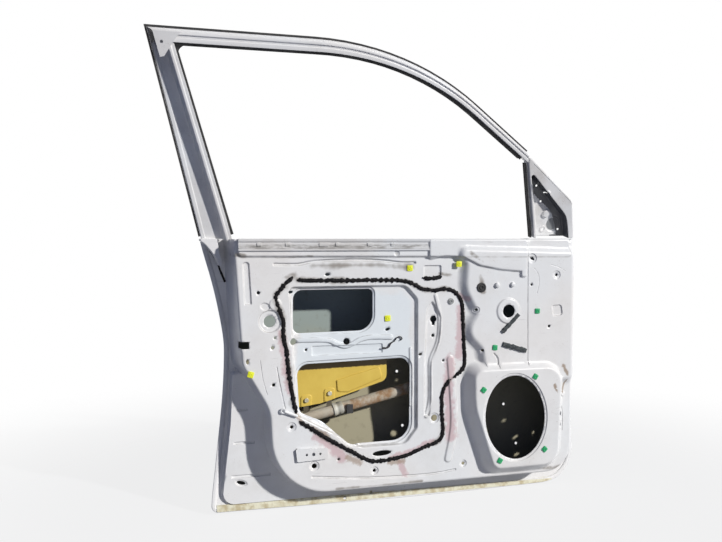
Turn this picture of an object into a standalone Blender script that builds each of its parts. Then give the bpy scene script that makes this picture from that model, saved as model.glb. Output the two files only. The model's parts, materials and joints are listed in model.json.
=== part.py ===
"""Stripped shell of a front left car door, built as its separate pressings and trim.

X runs forward to the hinges, Y outward to the outer skin, Z up. The inner side of
the door faces -Y. The origin is the middle of the upper hinge face.
Outlines of the lower door are drawn in X and Z. Those of the window frame are drawn
in its own leaning plane: x along the door, w up the frame, v outward.
"""
import math

import bmesh
import bpy
from mathutils import Matrix, Vector

# Sheet and clearance
INNER_SHEET = 0.0010
SKIN_SHEET = 0.0009
BRACKET_SHEET = 0.0020
GAP = 0.0003
SHEET_SEAT_GAP = 0.0010

# Main heights
BELT_Z = 0.152
HINGE_SPACING = 0.330
BOLT_REACH = 0.020
BOLT_RADIUS = 0.0055

# Barrel of the outer skin
CROWN_Y = 0.067
CROWN_Z = -0.080
CROWN_RADIUS = 2.5

# Levels of the inner pressing, each measured from the one named before it
FACE_Y = -0.036
BAND_RAISE = 0.006
FRONT_RAISE = 0.016
BOSS_RAISE = 0.016
FIELD_DEPTH = 0.008
SHELF_RAISE = 0.012
WALL_DRAFT = 0.014
SHOULDER = 0.006
RAISED_ROOT = 0.003
BACK_Y = 0.102
FRONT_SPACE_Y = -0.120

BAND_Y = FACE_Y - BAND_RAISE
FRONT_Y = FACE_Y - FRONT_RAISE
BOSS_Y = FRONT_Y - BOSS_RAISE
FIELD_Y = FACE_Y + FIELD_DEPTH

# Outer edge of the door below the belt
REAR_EDGE = [(-0.962, 0.200), (-0.951, 0.140), (-0.921, 0.032), (-0.900, -0.075),
             (-0.897, -0.140), (-0.903, -0.240), (-0.917, -0.360), (-0.930, -0.462)]
SILL_Z = -0.505
SILL_BOW = 0.005
REAR_TOE_X = -0.934
REAR_TOE_RADIUS = 0.016
FRONT_EDGE_X = 0.050
FRONT_TOE_RADIUS = 0.095
HEM_WIDTH = 0.012

# Pan of the inner pressing
PAN_REAR_X = -0.889
PAN_REAR_LOW_X = -0.866
PAN_STEP_X = -0.802
PAN_STEP_TOP_Z = -0.142
PAN_STEP_LOW_Z = -0.252
PAN_SILL_Z = -0.458
PAN_TOE_RADIUS = 0.140
PAN_FRONT_RADIUS = 0.072

# Raised and sunk areas of the inner pressing
SHELF = [(-0.880, -0.170, 0.010), (-0.886, -0.290, 0.30), (-0.908, -0.486, 0.028),
         (-0.640, -0.486, 0.005), (-0.640, -0.430, 0.005), (-0.780, -0.300, 0.05),
         (-0.845, -0.170, 0.010)]
SHELF_RIBS = [(-0.872, -0.846, -0.262, -0.256), (-0.880, -0.828, -0.342, -0.335),
              (-0.886, -0.790, -0.424, -0.416)]
BELT_BAND = [(-0.872, 0.184, 0.008), (-0.872, 0.124, 0.010), (-0.790, 0.116, 0.030),
             (-0.720, 0.106, 0.030), (-0.016, 0.106, 0.008), (-0.016, 0.184, 0.008)]
FRONT_ZONE = [(-0.322, 0.119, 0.008), (-0.298, 0.088, 0.014),
              (-0.302, 0.030, 0.040), (-0.270, -0.034, 0.022), (-0.298, -0.078, 0.018),
              (-0.262, -0.118, 0.020), (-0.240, -0.205, 0.030), (-0.013, -0.205, 0.008),
              (-0.013, 0.113, 0.008)]
SPEAKER_BOSS = [(-0.286, -0.180, 0.020), (-0.284, -0.270, 0.150), (-0.232, -0.424, 0.022),
                (-0.060, -0.424, 0.040), (-0.050, -0.180, 0.040)]
VALLEY = [(-0.394, 0.004, 0.006), (-0.366, -0.040, 0.020), (-0.372, -0.105, 0.040),
          (-0.394, -0.160, 0.040), (-0.394, -0.262, 0.030), (-0.398, -0.292, 0.006),
          (-0.416, -0.292, 0.006), (-0.416, -0.160, 0.040), (-0.410, -0.020, 0.020)]
LABEL_RECESS = (-0.417, -0.369, 0.053, 0.088)
CORNER_RECESS = [(-0.848, 0.100, 0.008), (-0.842, -0.002, 0.004), (-0.862, -0.002, 0.004),
                 (-0.866, 0.100, 0.008)]

# Openings of the outer skin
HANDLE_APERTURE = [(-0.858, 0.014, 0.012), (-0.757, 0.014, 0.012), (-0.757, -0.032, 0.012),
                   (-0.858, -0.032, 0.012)]
LOCK_HOLE = (-0.876, -0.010, 0.009, 0.009)
MOULDING_HOLES = [(-0.487, -0.161), (-0.452, -0.190), (-0.440, -0.330), (-0.150, -0.292),
                  (-0.118, -0.398)]

# Service openings and the speaker opening
UPPER_OPENING = [(-0.744, 0.031, 0.022), (-0.546, 0.031, 0.012),
                 (-0.546, -0.070, 0.038), (-0.744, -0.072, 0.015)]
LOWER_OPENING = [(-0.736, -0.147, 0.028), (-0.450, -0.141, 0.026), (-0.450, -0.346, 0.045),
                 (-0.585, -0.347, 0.030), (-0.675, -0.268, 0.030), (-0.729, -0.259, 0.018)]
FIELD_OUTLINE = [(-0.757, 0.041, 0.014), (-0.462, 0.041, 0.030), (-0.430, 0.006, 0.020),
                 (-0.430, -0.318, 0.020), (-0.462, -0.358, 0.030), (-0.578, -0.358, 0.030),
                 (-0.741, -0.268, 0.018)]
SPEAKER_X = -0.178
SPEAKER_Z = -0.300
SPEAKER_WIDTH = 0.166
SPEAKER_HEIGHT = 0.214
SPEAKER_TILT = math.radians(6.0)

# Window frame
FRAME_LEAN = math.radians(16.7)
FRAME_Y = 0.017
FRAME_TOP_W = 0.469
FRAME_REAR_X = -1.076
RAIL_WIDTH = 0.0270
RAIL_FRONT_WIDTH = 0.0190
RAIL_BEND_X = -0.484
RAIL_BEND_RADIUS = 0.720
RAIL_FALL = 0.700
RAIL_FRONT_X = -0.1425
RUN_FRONT_X = -0.158
SASH_WIDTH = 0.0690
SASH_TOP_WIDTH = 0.0430
SASH_FLOOR_V = 0.0010
SASH_TOP_FLOOR_V = 0.0110
SASH_BACK_V = 0.0160
SASH_FALL = 0.262
FRAME_FOOT_W = 0.006
SAIL_FRONT_X = 0.026
DIVISION_TOP_X = -0.149
DIVISION_FOOT_X = -0.101
DIVISION_WIDTH = 0.0060
DIVISION_HALF_DEPTH = 0.0045
DIVISION_TOP_GAP = 0.0039
RAIL_FACE_V = -0.0150
RAIL_BACK_V = 0.0130
CHANNEL_FACE_V = -0.0050
CHANNEL_BACK_V = 0.0110
CHANNEL_DEPTH = 0.0110
RUN_LIP = 0.0070
RUN_WEB = 0.034
SAIL_FLOOR_V = 0.0080
SAIL_HEIGHT = 0.2300
SAIL_BEND = (0.003, 0.109, 0.020)
GUSSET_OUTLINE = [(0.0110, 0.005), (0.0700, 0.005), (0.0550, 0.025), (0.0355, 0.057),
                  (0.0270, 0.059)]
GUSSET_HOLE = (0.030, 0.027, 0.0035)
CAP_OUTLINE = [(0.0045, 0.004), (0.0200, 0.0130), (0.0135, 0.030), (0.0105, 0.032)]
SAIL_FLOOR = [(-0.1290, 0.1845, 0.006), (-0.0085, 0.0665, 0.060), (0.0155, -0.020, 0.006),
              (-0.0775, -0.020, 0.006)]
SAIL_HOLES = [(-0.033, 0.040, 0.0160), (-0.060, 0.026, 0.004), (-0.097, 0.143, 0.003),
              (-0.077, 0.101, 0.003)]
SAIL_SLOT = [(-0.054, 0.0125, 0.004), (-0.009, 0.0125, 0.004), (-0.009, -0.012, 0.002),
             (-0.054, -0.012, 0.002)]

# Stepped strip on the belt: rise off the panel, height from the belt line
BELT_FRONT_X = -0.150
BELT_STEPS = [(0.0, -0.028), (0.0030, -0.028), (0.0040, -0.020), (0.0015, -0.018), (0.0015, -0.007),
              (0.0045, -0.005), (0.0045, 0.001), (0.0, 0.001)]

# Side impact tube
TUBE_RADIUS = 0.0135
TUBE_REAR = (-0.797, -0.305)
TUBE_FRONT = (-0.030, -0.134)
SLEEVE_REAR_X = -0.637
SLEEVE_FRONT_X = -0.612

# Folded plate behind the lower service opening
PLATE_Y = 0.006
PLATE_TOP_Z = -0.112
PLATE_SCREWS = [(-0.705, -0.240), (-0.647, -0.226)]
TAB_PROUD = 0.0015

# Trim clips
CLIP_SIZE = 0.0115
CLIP_THICKNESS = 0.0026
CLIP_SHANK = 0.0070

ARC_STEPS = 5
HOLE_SIDES = 12

YELLOW_CLIPS = [(-0.453, 0.081), (-0.326, 0.090), (-0.508, -0.042), (-0.847, -0.164)]
GREEN_CLIPS = [(-0.111, -0.032), (-0.230, -0.122), (-0.124, -0.198),
               (-0.268, -0.225), (-0.222, -0.407), (-0.096, -0.387)]
ROUND_HOLES = [(-0.828, 0.027, 0.004), (-0.789, -0.080, 0.003), (-0.795, -0.103, 0.004),
               (-0.745, -0.091, 0.008), (-0.613, -0.095, 0.008), (-0.713, -0.112, 0.003),
               (-0.128, 0.036, 0.003), (-0.077, -0.072, 0.0035), (-0.280, -0.025, 0.0035),
               (-0.390, -0.088, 0.004), (-0.364, -0.151, 0.003), (-0.263, -0.128, 0.0035),
               (-0.387, -0.295, 0.008), (-0.308, -0.416, 0.004), (-0.046, -0.264, 0.003),
               (-0.035, -0.324, 0.003), (-0.039, -0.373, 0.0035), (-0.695, -0.392, 0.006),
               (-0.750, -0.294, 0.004), (-0.793, -0.191, 0.004), (-0.544, -0.415, 0.004),
               (-0.635, -0.380, 0.003), (-0.056, 0.060, 0.0035), (-0.489, 0.117, 0.0035)]
OVAL_HOLES = [(-0.751, 0.027, 0.006, 0.0035, 0.0), (-0.662, 0.068, 0.006, 0.0035, 0.0),
              (-0.508, -0.069, 0.006, 0.0035, 0.3), (-0.425, -0.133, 0.005, 0.003, 0.2),
              (-0.854, -0.134, 0.0035, 0.006, 0.0), (-0.126, 0.103, 0.007, 0.0035, -0.6),
              (-0.525, -0.373, 0.024, 0.0065, 0.05), (-0.862, -0.436, 0.011, 0.0045, -0.3)]
DRAIN_HOLES = [(-0.602, -0.497), (-0.532, -0.490)]
LATCH_SLOT = (-0.872, -0.850, -0.104, -0.087)
KEYHOLE = (-0.389, -0.047, 0.0085, 0.0038, 0.0150)
REAR_RING = (-0.801, -0.041, 0.0140, 0.0285)
FRONT_RING = (-0.193, -0.030, 0.0165, 0.0320)

# Routes of the sealing bead and of the rubber strip
BEAD_REAR = [(-0.746, 0.064), (-0.772, 0.038), (-0.787, 0.016), (-0.779, -0.012), (-0.769, -0.044),
             (-0.769, -0.075), (-0.762, -0.110), (-0.757, -0.160), (-0.748, -0.215), (-0.739, -0.262)]
BEAD_FRONT = [(-0.737, 0.055), (-0.640, 0.053), (-0.500, 0.052), (-0.455, 0.046), (-0.421, 0.030),
              (-0.390, 0.025), (-0.360, 0.028), (-0.334, 0.020), (-0.315, -0.006), (-0.311, -0.050),
              (-0.308, -0.110), (-0.306, -0.150), (-0.312, -0.176), (-0.350, -0.205),
              (-0.366, -0.235), (-0.367, -0.290), (-0.364, -0.325), (-0.374, -0.352),
              (-0.420, -0.368), (-0.460, -0.383), (-0.505, -0.390), (-0.553, -0.390),
              (-0.606, -0.361), (-0.662, -0.328), (-0.703, -0.300), (-0.732, -0.281)]
SHUT_STRIP = [(-0.9320, 0.132), (-0.9245, 0.108), (-0.9145, 0.080), (-0.9060, 0.052)]


# Outline helpers

def rounded(corners, steps=ARC_STEPS):
    """Closed outline through corners given as (x, z, radius)."""
    points = []
    count = len(corners)
    for i, (x, z, radius) in enumerate(corners):
        here = Vector((x, z))
        before = Vector(corners[i - 1][:2]) - here
        after = Vector(corners[(i + 1) % count][:2]) - here
        turn = before.angle(after)
        reach = radius / math.tan(turn / 2)
        start = here + before.normalized() * reach
        middle = here + (before.normalized() + after.normalized()).normalized() * (
            radius / math.sin(turn / 2))
        sweep_angle = math.pi - turn
        side = 1 if before.x * after.y - before.y * after.x < 0 else -1
        for k in range(steps + 1):
            angle = side * sweep_angle * k / steps
            arm = start - middle
            c, s = math.cos(angle), math.sin(angle)
            points.append((middle.x + arm.x * c - arm.y * s, middle.y + arm.x * s + arm.y * c))
    return points


def smooth(points, steps=3):
    """Open curve that passes through every point, with steps pieces between two of them."""
    path = []
    ends = [points[0]] + list(points) + [points[-1]]
    for i in range(1, len(ends) - 2):
        a, b, c, d = (Vector(p) for p in ends[i - 1:i + 3])
        for k in range(steps):
            t = k / steps
            path.append(tuple(0.5 * (2 * b + (c - a) * t + (2 * a - 5 * b + 4 * c - d) * t ** 2
                                     + (3 * b - a - 3 * c + d) * t ** 3)))
    path.append(tuple(points[-1]))
    return path


def oval(x, z, half_x, half_z, tilt=0.0, sides=HOLE_SIDES):
    """Closed ellipse."""
    c, s = math.cos(tilt), math.sin(tilt)
    outline = []
    for k in range(sides):
        a = 2 * math.pi * (k + 0.5) / sides
        u, w = half_x * math.cos(a), half_z * math.sin(a)
        outline.append((x + u * c - w * s, z + u * s + w * c))
    return outline


def keyhole(x, z, radius, half_slot, drop):
    """Round hole with a narrower slot below it."""
    start = -math.pi / 2 + math.asin(half_slot / radius)
    turn = 2 * math.pi - 2 * math.asin(half_slot / radius)
    arc = [(x + radius * math.cos(start + turn * k / 10), z + radius * math.sin(start + turn * k / 10))
           for k in range(11)]
    return arc + [(x - half_slot, z - drop), (x + half_slot, z - drop)]


def rectangle(x0, x1, z0, z1):
    """Closed rectangle."""
    return [(x0, z0), (x1, z0), (x1, z1), (x0, z1)]


def square(x, z, size):
    """Closed square round a point."""
    return rectangle(x - size / 2, x + size / 2, z - size / 2, z + size / 2)


def inset(outline, distance):
    """The outline moved inward by a distance, or outward where it is negative."""
    area = sum(a[0] * b[1] - b[0] * a[1] for a, b in zip(outline, outline[1:] + outline[:1]))
    sign = 1 if area > 0 else -1
    moved = []
    count = len(outline)
    for i, point in enumerate(outline):
        here = Vector(point)
        one = (here - Vector(outline[i - 1])).normalized()
        two = (Vector(outline[(i + 1) % count]) - here).normalized()
        normal_one = Vector((-one.y, one.x)) * sign
        normal_two = Vector((-two.y, two.x)) * sign
        middle = (normal_one + normal_two).normalized()
        moved.append(tuple(here + middle * distance / max(0.5, middle.dot(normal_one))))
    return moved


def skin_y(z):
    """Outer face of the skin at a height."""
    return CROWN_Y - (z - CROWN_Z) ** 2 / (2 * CROWN_RADIUS)


FLANGE_OFFSET = SKIN_SHEET + GAP + INNER_SHEET
HEM_OFFSET = FLANGE_OFFSET + GAP + SKIN_SHEET
SHELF_Y = skin_y(PAN_SILL_Z) - FLANGE_OFFSET - SHELF_RAISE
TUBE_PLATE_Y = SHELF_Y + INNER_SHEET + SHEET_SEAT_GAP
TUBE_Y = TUBE_PLATE_Y - GAP - TUBE_RADIUS


def tube_z(x):
    """Height of the impact tube's axis."""
    share = (x - TUBE_REAR[0]) / (TUBE_FRONT[0] - TUBE_REAR[0])
    return TUBE_REAR[1] + share * (TUBE_FRONT[1] - TUBE_REAR[1])


# Solid helpers

def material(name, colour, roughness, metallic=0.0):
    """Principled material, made once for each name."""
    found = bpy.data.materials.get(name)
    if found:
        return found
    made = bpy.data.materials.new(name)
    made.use_nodes = True
    shader = made.node_tree.nodes["Principled BSDF"]
    shader.inputs["Base Color"].default_value = (*colour, 1.0)
    shader.inputs["Roughness"].default_value = roughness
    shader.inputs["Metallic"].default_value = metallic
    made.diffuse_color = (*colour, 1.0)
    return made


WHITE_PAINT = ("white_paint", (0.80, 0.81, 0.81), 0.35)
GREY_PAINT = ("grey_paint", (0.45, 0.46, 0.47), 0.5)
BLACK_PAINT = ("black_paint", (0.03, 0.03, 0.032), 0.45)
RUBBER = ("rubber", (0.02, 0.02, 0.022), 0.8)
BUTYL = ("butyl", (0.015, 0.015, 0.018), 0.6)
RUSTY_STEEL = ("rusty_steel", (0.34, 0.22, 0.14), 0.8)
ZINC = ("zinc", (0.55, 0.52, 0.42), 0.45, 0.8)
YELLOW_STEEL = ("yellow_steel", (0.72, 0.52, 0.14), 0.45)
YELLOW_PLASTIC = ("yellow_plastic", (0.75, 0.78, 0.05), 0.5)
GREEN_PLASTIC = ("green_plastic", (0.02, 0.36, 0.17), 0.5)
FOAM = ("foam", (0.07, 0.08, 0.085), 0.95)
SEALER = ("sealer", (0.78, 0.76, 0.62), 0.6)


def finish(name, mesh, finish_of, round_piece=False):
    """Object of a mesh, with its material."""
    obj = bpy.data.objects.new(name, mesh)
    bpy.context.collection.objects.link(obj)
    mesh.materials.clear()
    mesh.materials.append(material(*finish_of))
    if round_piece:
        mesh.shade_smooth()
        mesh.set_sharp_from_angle(angle=math.radians(35))
    return obj


def skin_rings(mesh, rings, capped=True):
    """Closed solid between rings that have equally many points."""
    loops = [[mesh.verts.new(p) for p in ring] for ring in rings]
    count = len(loops[0])
    for low, high in zip(loops, loops[1:]):
        for i in range(count):
            j = (i + 1) % count
            mesh.faces.new((low[i], low[j], high[j], high[i]))
    if capped:
        mesh.faces.new(loops[0])
        mesh.faces.new(loops[-1])


def closed_mesh(name, ring_sets):
    """Mesh of one or more closed lofts."""
    bm = bmesh.new()
    for rings in ring_sets:
        skin_rings(bm, rings)
    bmesh.ops.recalc_face_normals(bm, faces=bm.faces)
    mesh = bpy.data.meshes.new(name)
    bm.to_mesh(mesh)
    bm.free()
    return mesh


def at_y(outline, y):
    """Outline in X and Z as a ring of points at a Y."""
    return [(x, y, z) for x, z in outline]


def prism(name, outline, y_low, y_high, finish_of=GREY_PAINT, round_piece=False):
    """Outline drawn out along Y."""
    mesh = closed_mesh(name, [[at_y(outline, y_low), at_y(outline, y_high)]])
    return finish(name, mesh, finish_of, round_piece)


def prisms(name, outlines, y_low, y_high):
    """Several outlines drawn out along Y, as one tool."""
    rings = [[at_y(outline, y_low), at_y(outline, y_high)] for outline in outlines]
    return finish(name, closed_mesh(name, rings), GREY_PAINT)


def box(name, low, high, finish_of=GREY_PAINT):
    """Box between two corners."""
    outline = rectangle(low[0], high[0], low[2], high[2])
    return prism(name, outline, low[1], high[1], finish_of)


def drafted(name, foot, top, foot_y, top_y, shoulder=SHOULDER):
    """Pressed block with sloping walls and a rounded shoulder at its top."""
    share = 1 - shoulder / abs(foot_y - top_y)
    toward_foot = 1 if foot_y > top_y else -1
    wall = [(a[0] + (b[0] - a[0]) * share, foot_y + (top_y - foot_y) * share,
             a[1] + (b[1] - a[1]) * share) for a, b in zip(foot, top)]
    rings = [at_y(foot, foot_y), wall,
             at_y(inset(top, 0.29 * shoulder), top_y + toward_foot * 0.29 * shoulder),
             at_y(inset(top, shoulder), top_y)]
    return finish(name, closed_mesh(name, [rings]), GREY_PAINT)


def barrel(name, low_offset, high_offset, x_low, x_high, z_low, z_high, back=None,
           finish_of=GREY_PAINT, steps=14):
    """Slab that follows the barrel of the skin, between two depths behind its outer face."""
    heights = [z_low + (z_high - z_low) * k / steps for k in range(steps + 1)]
    section = [(skin_y(z) - high_offset, z) for z in heights]
    if back is None:
        section += [(skin_y(z) - low_offset, z) for z in reversed(heights)]
    else:
        section += [(back, z_high), (back, z_low)]
    rings = [[(x, y, z) for y, z in section] for x in (x_low, x_high)]
    return finish(name, closed_mesh(name, [rings]), finish_of)


def combine(target, tool, operation="DIFFERENCE"):
    """Boolean of a target and a tool, worked out at once."""
    modifier = target.modifiers.new(tool.name, "BOOLEAN")
    modifier.operation = operation
    modifier.solver = "EXACT"
    modifier.object = tool
    settle(target)
    bpy.data.objects.remove(tool)
    return target


def settle(target):
    """Turn an object's modifiers into its mesh, without needle edges."""
    graph = bpy.context.evaluated_depsgraph_get()
    mesh = bpy.data.meshes.new_from_object(target.evaluated_get(graph))
    bm = bmesh.new()
    bm.from_mesh(mesh)
    bmesh.ops.remove_doubles(bm, verts=bm.verts, dist=0.00002)
    bmesh.ops.dissolve_degenerate(bm, edges=bm.edges, dist=0.00001)
    bm.to_mesh(mesh)
    bm.free()
    target.modifiers.clear()
    target.data = mesh
    return target


def thicken(target, thickness):
    """Give a one-sided surface its sheet thickness, behind the face."""
    modifier = target.modifiers.new("sheet", "SOLIDIFY")
    modifier.thickness = thickness
    modifier.offset = -1.0
    modifier.use_even_offset = True
    modifier.thickness_clamp = 1.0
    return settle(target)


def drop_faces(target, unwanted):
    """Remove the faces whose middle the test picks."""
    bm = bmesh.new()
    bm.from_mesh(target.data)
    gone = [f for f in bm.faces if unwanted(f.calc_center_bounds())]
    bmesh.ops.delete(bm, geom=gone, context="FACES")
    bm.to_mesh(target.data)
    bm.free()


def sweep(name, path, section, finish_of, start_arm=None, end_arm=None, place=None):
    """Section (across, depth) drawn along a flat path (x, w), mitred at its bends.

    Across is measured to the right of the path's direction. A section that changes is a
    function of the share of the path's points passed. An arm is the slanted
    direction of an end, per unit of across.
    """
    count = len(path)
    rings = []
    for i, point in enumerate(path):
        here = Vector(point)
        one = (here - Vector(path[i - 1])).normalized() if i else None
        two = (Vector(path[i + 1]) - here).normalized() if i < count - 1 else None
        one, two = one or two, two or one
        right_one, right_two = Vector((one.y, -one.x)), Vector((two.y, -two.x))
        middle = (right_one + right_two).normalized()
        arm = middle / middle.dot(right_one)
        if i == 0 and start_arm:
            arm = Vector(start_arm)
        if i == count - 1 and end_arm:
            arm = Vector(end_arm)
        profile = section(i / (count - 1)) if callable(section) else section
        rings.append([(here.x + arm.x * a, depth, here.y + arm.y * a) for a, depth in profile])
    obj = finish(name, closed_mesh(name, [rings]), finish_of, True)
    if place:
        obj.matrix_world = place
    return obj


FRAME_PLACE = Matrix.Translation((0, FRAME_Y, BELT_Z)) @ Matrix.Rotation(FRAME_LEAN, 4, "X")


# Outer edge and the two main pressings

def door_edge():
    """Edge of the outer skin below the belt, with a little over above it."""
    rear = smooth(REAR_EDGE)
    toe = rounded([(REAR_EDGE[-1][0], REAR_EDGE[-1][1], 0.001), (REAR_TOE_X, SILL_Z, REAR_TOE_RADIUS),
                   (-0.80, SILL_Z + 0.002, 0.001)])[ARC_STEPS + 1:2 * ARC_STEPS + 2]
    sill = smooth([(-0.870, SILL_Z), (-0.430, SILL_Z - SILL_BOW), (-0.110, SILL_Z - 0.002)], 4)
    front = rounded([(-0.200, SILL_Z - 0.002, 0.001), (FRONT_EDGE_X, SILL_Z, FRONT_TOE_RADIUS),
                     (FRONT_EDGE_X, 0.0, 0.001)])[ARC_STEPS + 1:2 * ARC_STEPS + 2]
    return rear + toe + sill + front + [(FRONT_EDGE_X, REAR_EDGE[0][1])]


def outer_skin():
    """Skin with its edge folded back round the flange of the inner pressing."""
    edge = door_edge()
    x_low, x_high, z_low = -1.0, 0.1, SILL_Z - 0.05
    skin = barrel("outer_skin", 0.0, HEM_OFFSET, x_low, x_high, z_low, BELT_Z,
                  finish_of=WHITE_PAINT)
    combine(skin, prism("edge_tool", edge, FRONT_SPACE_Y, BACK_Y), "INTERSECT")
    pocket = barrel("pocket_tool", SKIN_SHEET, HEM_OFFSET - SKIN_SHEET, x_low, x_high, z_low,
                    BELT_Z + 0.02)
    combine(pocket, prism("pocket_edge", inset(edge, SKIN_SHEET), FRONT_SPACE_Y, BACK_Y), "INTERSECT")
    combine(skin, pocket)
    window = barrel("return_tool", SKIN_SHEET, HEM_OFFSET + 0.01, x_low, x_high, z_low,
                    BELT_Z + 0.03)
    combine(window, prism("return_edge", inset(edge, HEM_WIDTH), FRONT_SPACE_Y, BACK_Y), "INTERSECT")
    combine(skin, window)
    holes = [rounded(HANDLE_APERTURE), oval(*LOCK_HOLE)]
    holes += [oval(x, z, 0.0035, 0.0035, 0, 8) for x, z in MOULDING_HOLES]
    return combine(skin, prisms("skin_holes", holes, 0.03, BACK_Y))


def pan_outline(grow):
    """Outline of the pan, grown outward by the draft of its walls at their foot."""
    rear = PAN_REAR_X - grow
    rear_low = PAN_REAR_LOW_X - grow
    step = PAN_STEP_X - grow
    sill = PAN_SILL_Z - grow
    return rounded([(rear, REAR_EDGE[0][1], 0.008), (rear_low, PAN_STEP_TOP_Z - 1.4 * grow, 0.040),
                    (step, PAN_STEP_LOW_Z - 1.4 * grow, 0.100),
                    (step + 0.010, sill, PAN_TOE_RADIUS), (0.0, sill, PAN_FRONT_RADIUS + grow),
                    (0.0, REAR_EDGE[0][1], 0.008)])


def inner_panel():
    """Deep-drawn inner pressing with its flange, shelf, fields, openings and holes."""
    edge = inset(door_edge(), SKIN_SHEET + GAP)
    panel = barrel("inner_panel", 0, FLANGE_OFFSET, -1.0, 0.1, SILL_Z - 0.05, REAR_EDGE[0][1],
                   back=BACK_Y, finish_of=WHITE_PAINT)
    combine(panel, prism("flange_tool", edge, FRONT_SPACE_Y, BACK_Y + 0.01), "INTERSECT")

    foot_y = BACK_Y - 0.02
    share = (foot_y - FACE_Y) / (skin_y(-0.2) - FLANGE_OFFSET - FACE_Y)
    pan = drafted("pan", pan_outline(WALL_DRAFT * share), pan_outline(0.0), foot_y, FACE_Y)
    combine(panel, pan, "UNION")

    shelf = rounded(SHELF)
    combine(panel, drafted("shelf", inset(shelf, -0.003), shelf, foot_y, SHELF_Y, 0.003), "UNION")

    def raise_area(name, corners, level, draft, below):
        top = rounded(corners)
        base_y = below + RAISED_ROOT
        grow = draft * (base_y - level) / (below - level)
        combine(panel, drafted(name, inset(top, -grow), top, base_y, level, 0.004), "UNION")

    raise_area("belt_band", BELT_BAND, BAND_Y, 0.003, FACE_Y)
    raise_area("front_zone", FRONT_ZONE, FRONT_Y, 0.006, FACE_Y)
    raise_area("speaker_boss", SPEAKER_BOSS, BOSS_Y, 0.026, FACE_Y)

    def sink_area(name, outlines, face, depth, draft):
        sets = []
        for outline in outlines:
            sets.append([at_y(inset(outline, -draft * 0.5), face - depth * 0.5),
                         at_y(inset(outline, draft), face + depth)])
        combine(panel, finish(name, closed_mesh(name, sets), GREY_PAINT))

    sink_area("field", [rounded(FIELD_OUTLINE)], FACE_Y, FIELD_DEPTH, 0.004)
    sink_area("rear_ring", [oval(*REAR_RING[:2], REAR_RING[3], REAR_RING[3], 0, 20)],
              FACE_Y, 0.003, 0.003)
    sink_area("front_ring", [oval(*FRONT_RING[:2], FRONT_RING[3], FRONT_RING[3], 0, 20)],
              FRONT_Y, 0.003, 0.003)
    sink_area("valley", [rounded(VALLEY, 4)], FACE_Y, 0.005, 0.0025)
    sink_area("small_recesses", [rectangle(*LABEL_RECESS), rounded(CORNER_RECESS, 3)],
              FACE_Y, 0.003, 0.002)
    sink_area("shelf_ribs", [rectangle(*rib) for rib in SHELF_RIBS], SHELF_Y, 0.003, 0.001)

    drop_faces(panel, lambda c: c.y > skin_y(c.z) - FLANGE_OFFSET + 0.0008)
    thicken(panel, INNER_SHEET)
    combine(panel, box("belt_trim", (-1.1, -0.2, BELT_Z), (0.2, 0.2, 0.3)))
    combine(panel, bolt_tool((0.0, -HINGE_SPACING)))

    holes = [rounded(UPPER_OPENING), rounded(LOWER_OPENING),
             oval(SPEAKER_X, SPEAKER_Z, SPEAKER_WIDTH / 2, SPEAKER_HEIGHT / 2, SPEAKER_TILT, 36),
             oval(*REAR_RING[:2], REAR_RING[2], REAR_RING[2], 0, 20),
             oval(*FRONT_RING[:2], FRONT_RING[2], FRONT_RING[2], 0, 20),
             rectangle(*LATCH_SLOT)]
    holes += [oval(x, z, r, r) for x, z, r in ROUND_HOLES]
    holes += [oval(*o) for o in OVAL_HOLES]
    holes += [oval(x, z, 0.004, 0.004, 0, 8) for x, z in DRAIN_HOLES]
    holes += [square(x, z, CLIP_SHANK + 2 * GAP) for x, z in YELLOW_CLIPS + GREEN_CLIPS]
    holes.append(keyhole(*KEYHOLE))
    return combine(panel, prisms("panel_holes", holes, FRONT_SPACE_Y, BACK_Y))


def bolt_tool(heights):
    """Round bars along X through the bolt holes of the hinges at these heights."""
    bars = [[[(x, y + u, z + w) for u, w in oval(0, 0, BOLT_RADIUS, BOLT_RADIUS)]
             for x in (-0.02, 0.02)] for z in heights for y in (-BOLT_REACH, BOLT_REACH)]
    return finish("bolt_tool", closed_mesh("bolt_tool", bars), GREY_PAINT)


# Window frame

def rail_w(x):
    """Height of the outer line of the rail on its falling stretch."""
    return FRAME_TOP_W - (x - RAIL_BEND_X) * RAIL_FALL


def rail_path(front_x=RAIL_FRONT_X):
    """Outer line of the upper rail, from the rear corner to the mirror bracket."""
    turn = math.atan(RAIL_FALL)
    reach = RAIL_BEND_RADIUS * math.tan(turn / 2)
    steps = 12
    path = [(FRAME_REAR_X, FRAME_TOP_W)]
    for k in range(steps + 1):
        a = turn * k / steps
        path.append((RAIL_BEND_X - reach + RAIL_BEND_RADIUS * math.sin(a),
                     FRAME_TOP_W - RAIL_BEND_RADIUS * (1 - math.cos(a))))
    path.append((front_x, rail_w(front_x)))
    return path


def sash_line(w):
    """X of the outer line of the rear sash."""
    return FRAME_REAR_X + (FRAME_TOP_W - w) * SASH_FALL


def sash_width(w):
    """Width of the sash's sheet at a height."""
    share = (w - FRAME_FOOT_W) / (FRAME_TOP_W - FRAME_FOOT_W)
    return SASH_WIDTH + (SASH_TOP_WIDTH - SASH_WIDTH) * share


def rail_width(share):
    """Width of the rail's sheet, narrower to the front."""
    return RAIL_WIDTH + (RAIL_FRONT_WIDTH - RAIL_WIDTH) * share


def inner_corner():
    """Where the window sides of the rail and the sash meet."""
    slant = math.sqrt(1 + SASH_FALL ** 2)
    w = FRAME_TOP_W - RAIL_WIDTH
    return Vector((sash_line(w) + sash_width(w) * slant, w))


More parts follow.
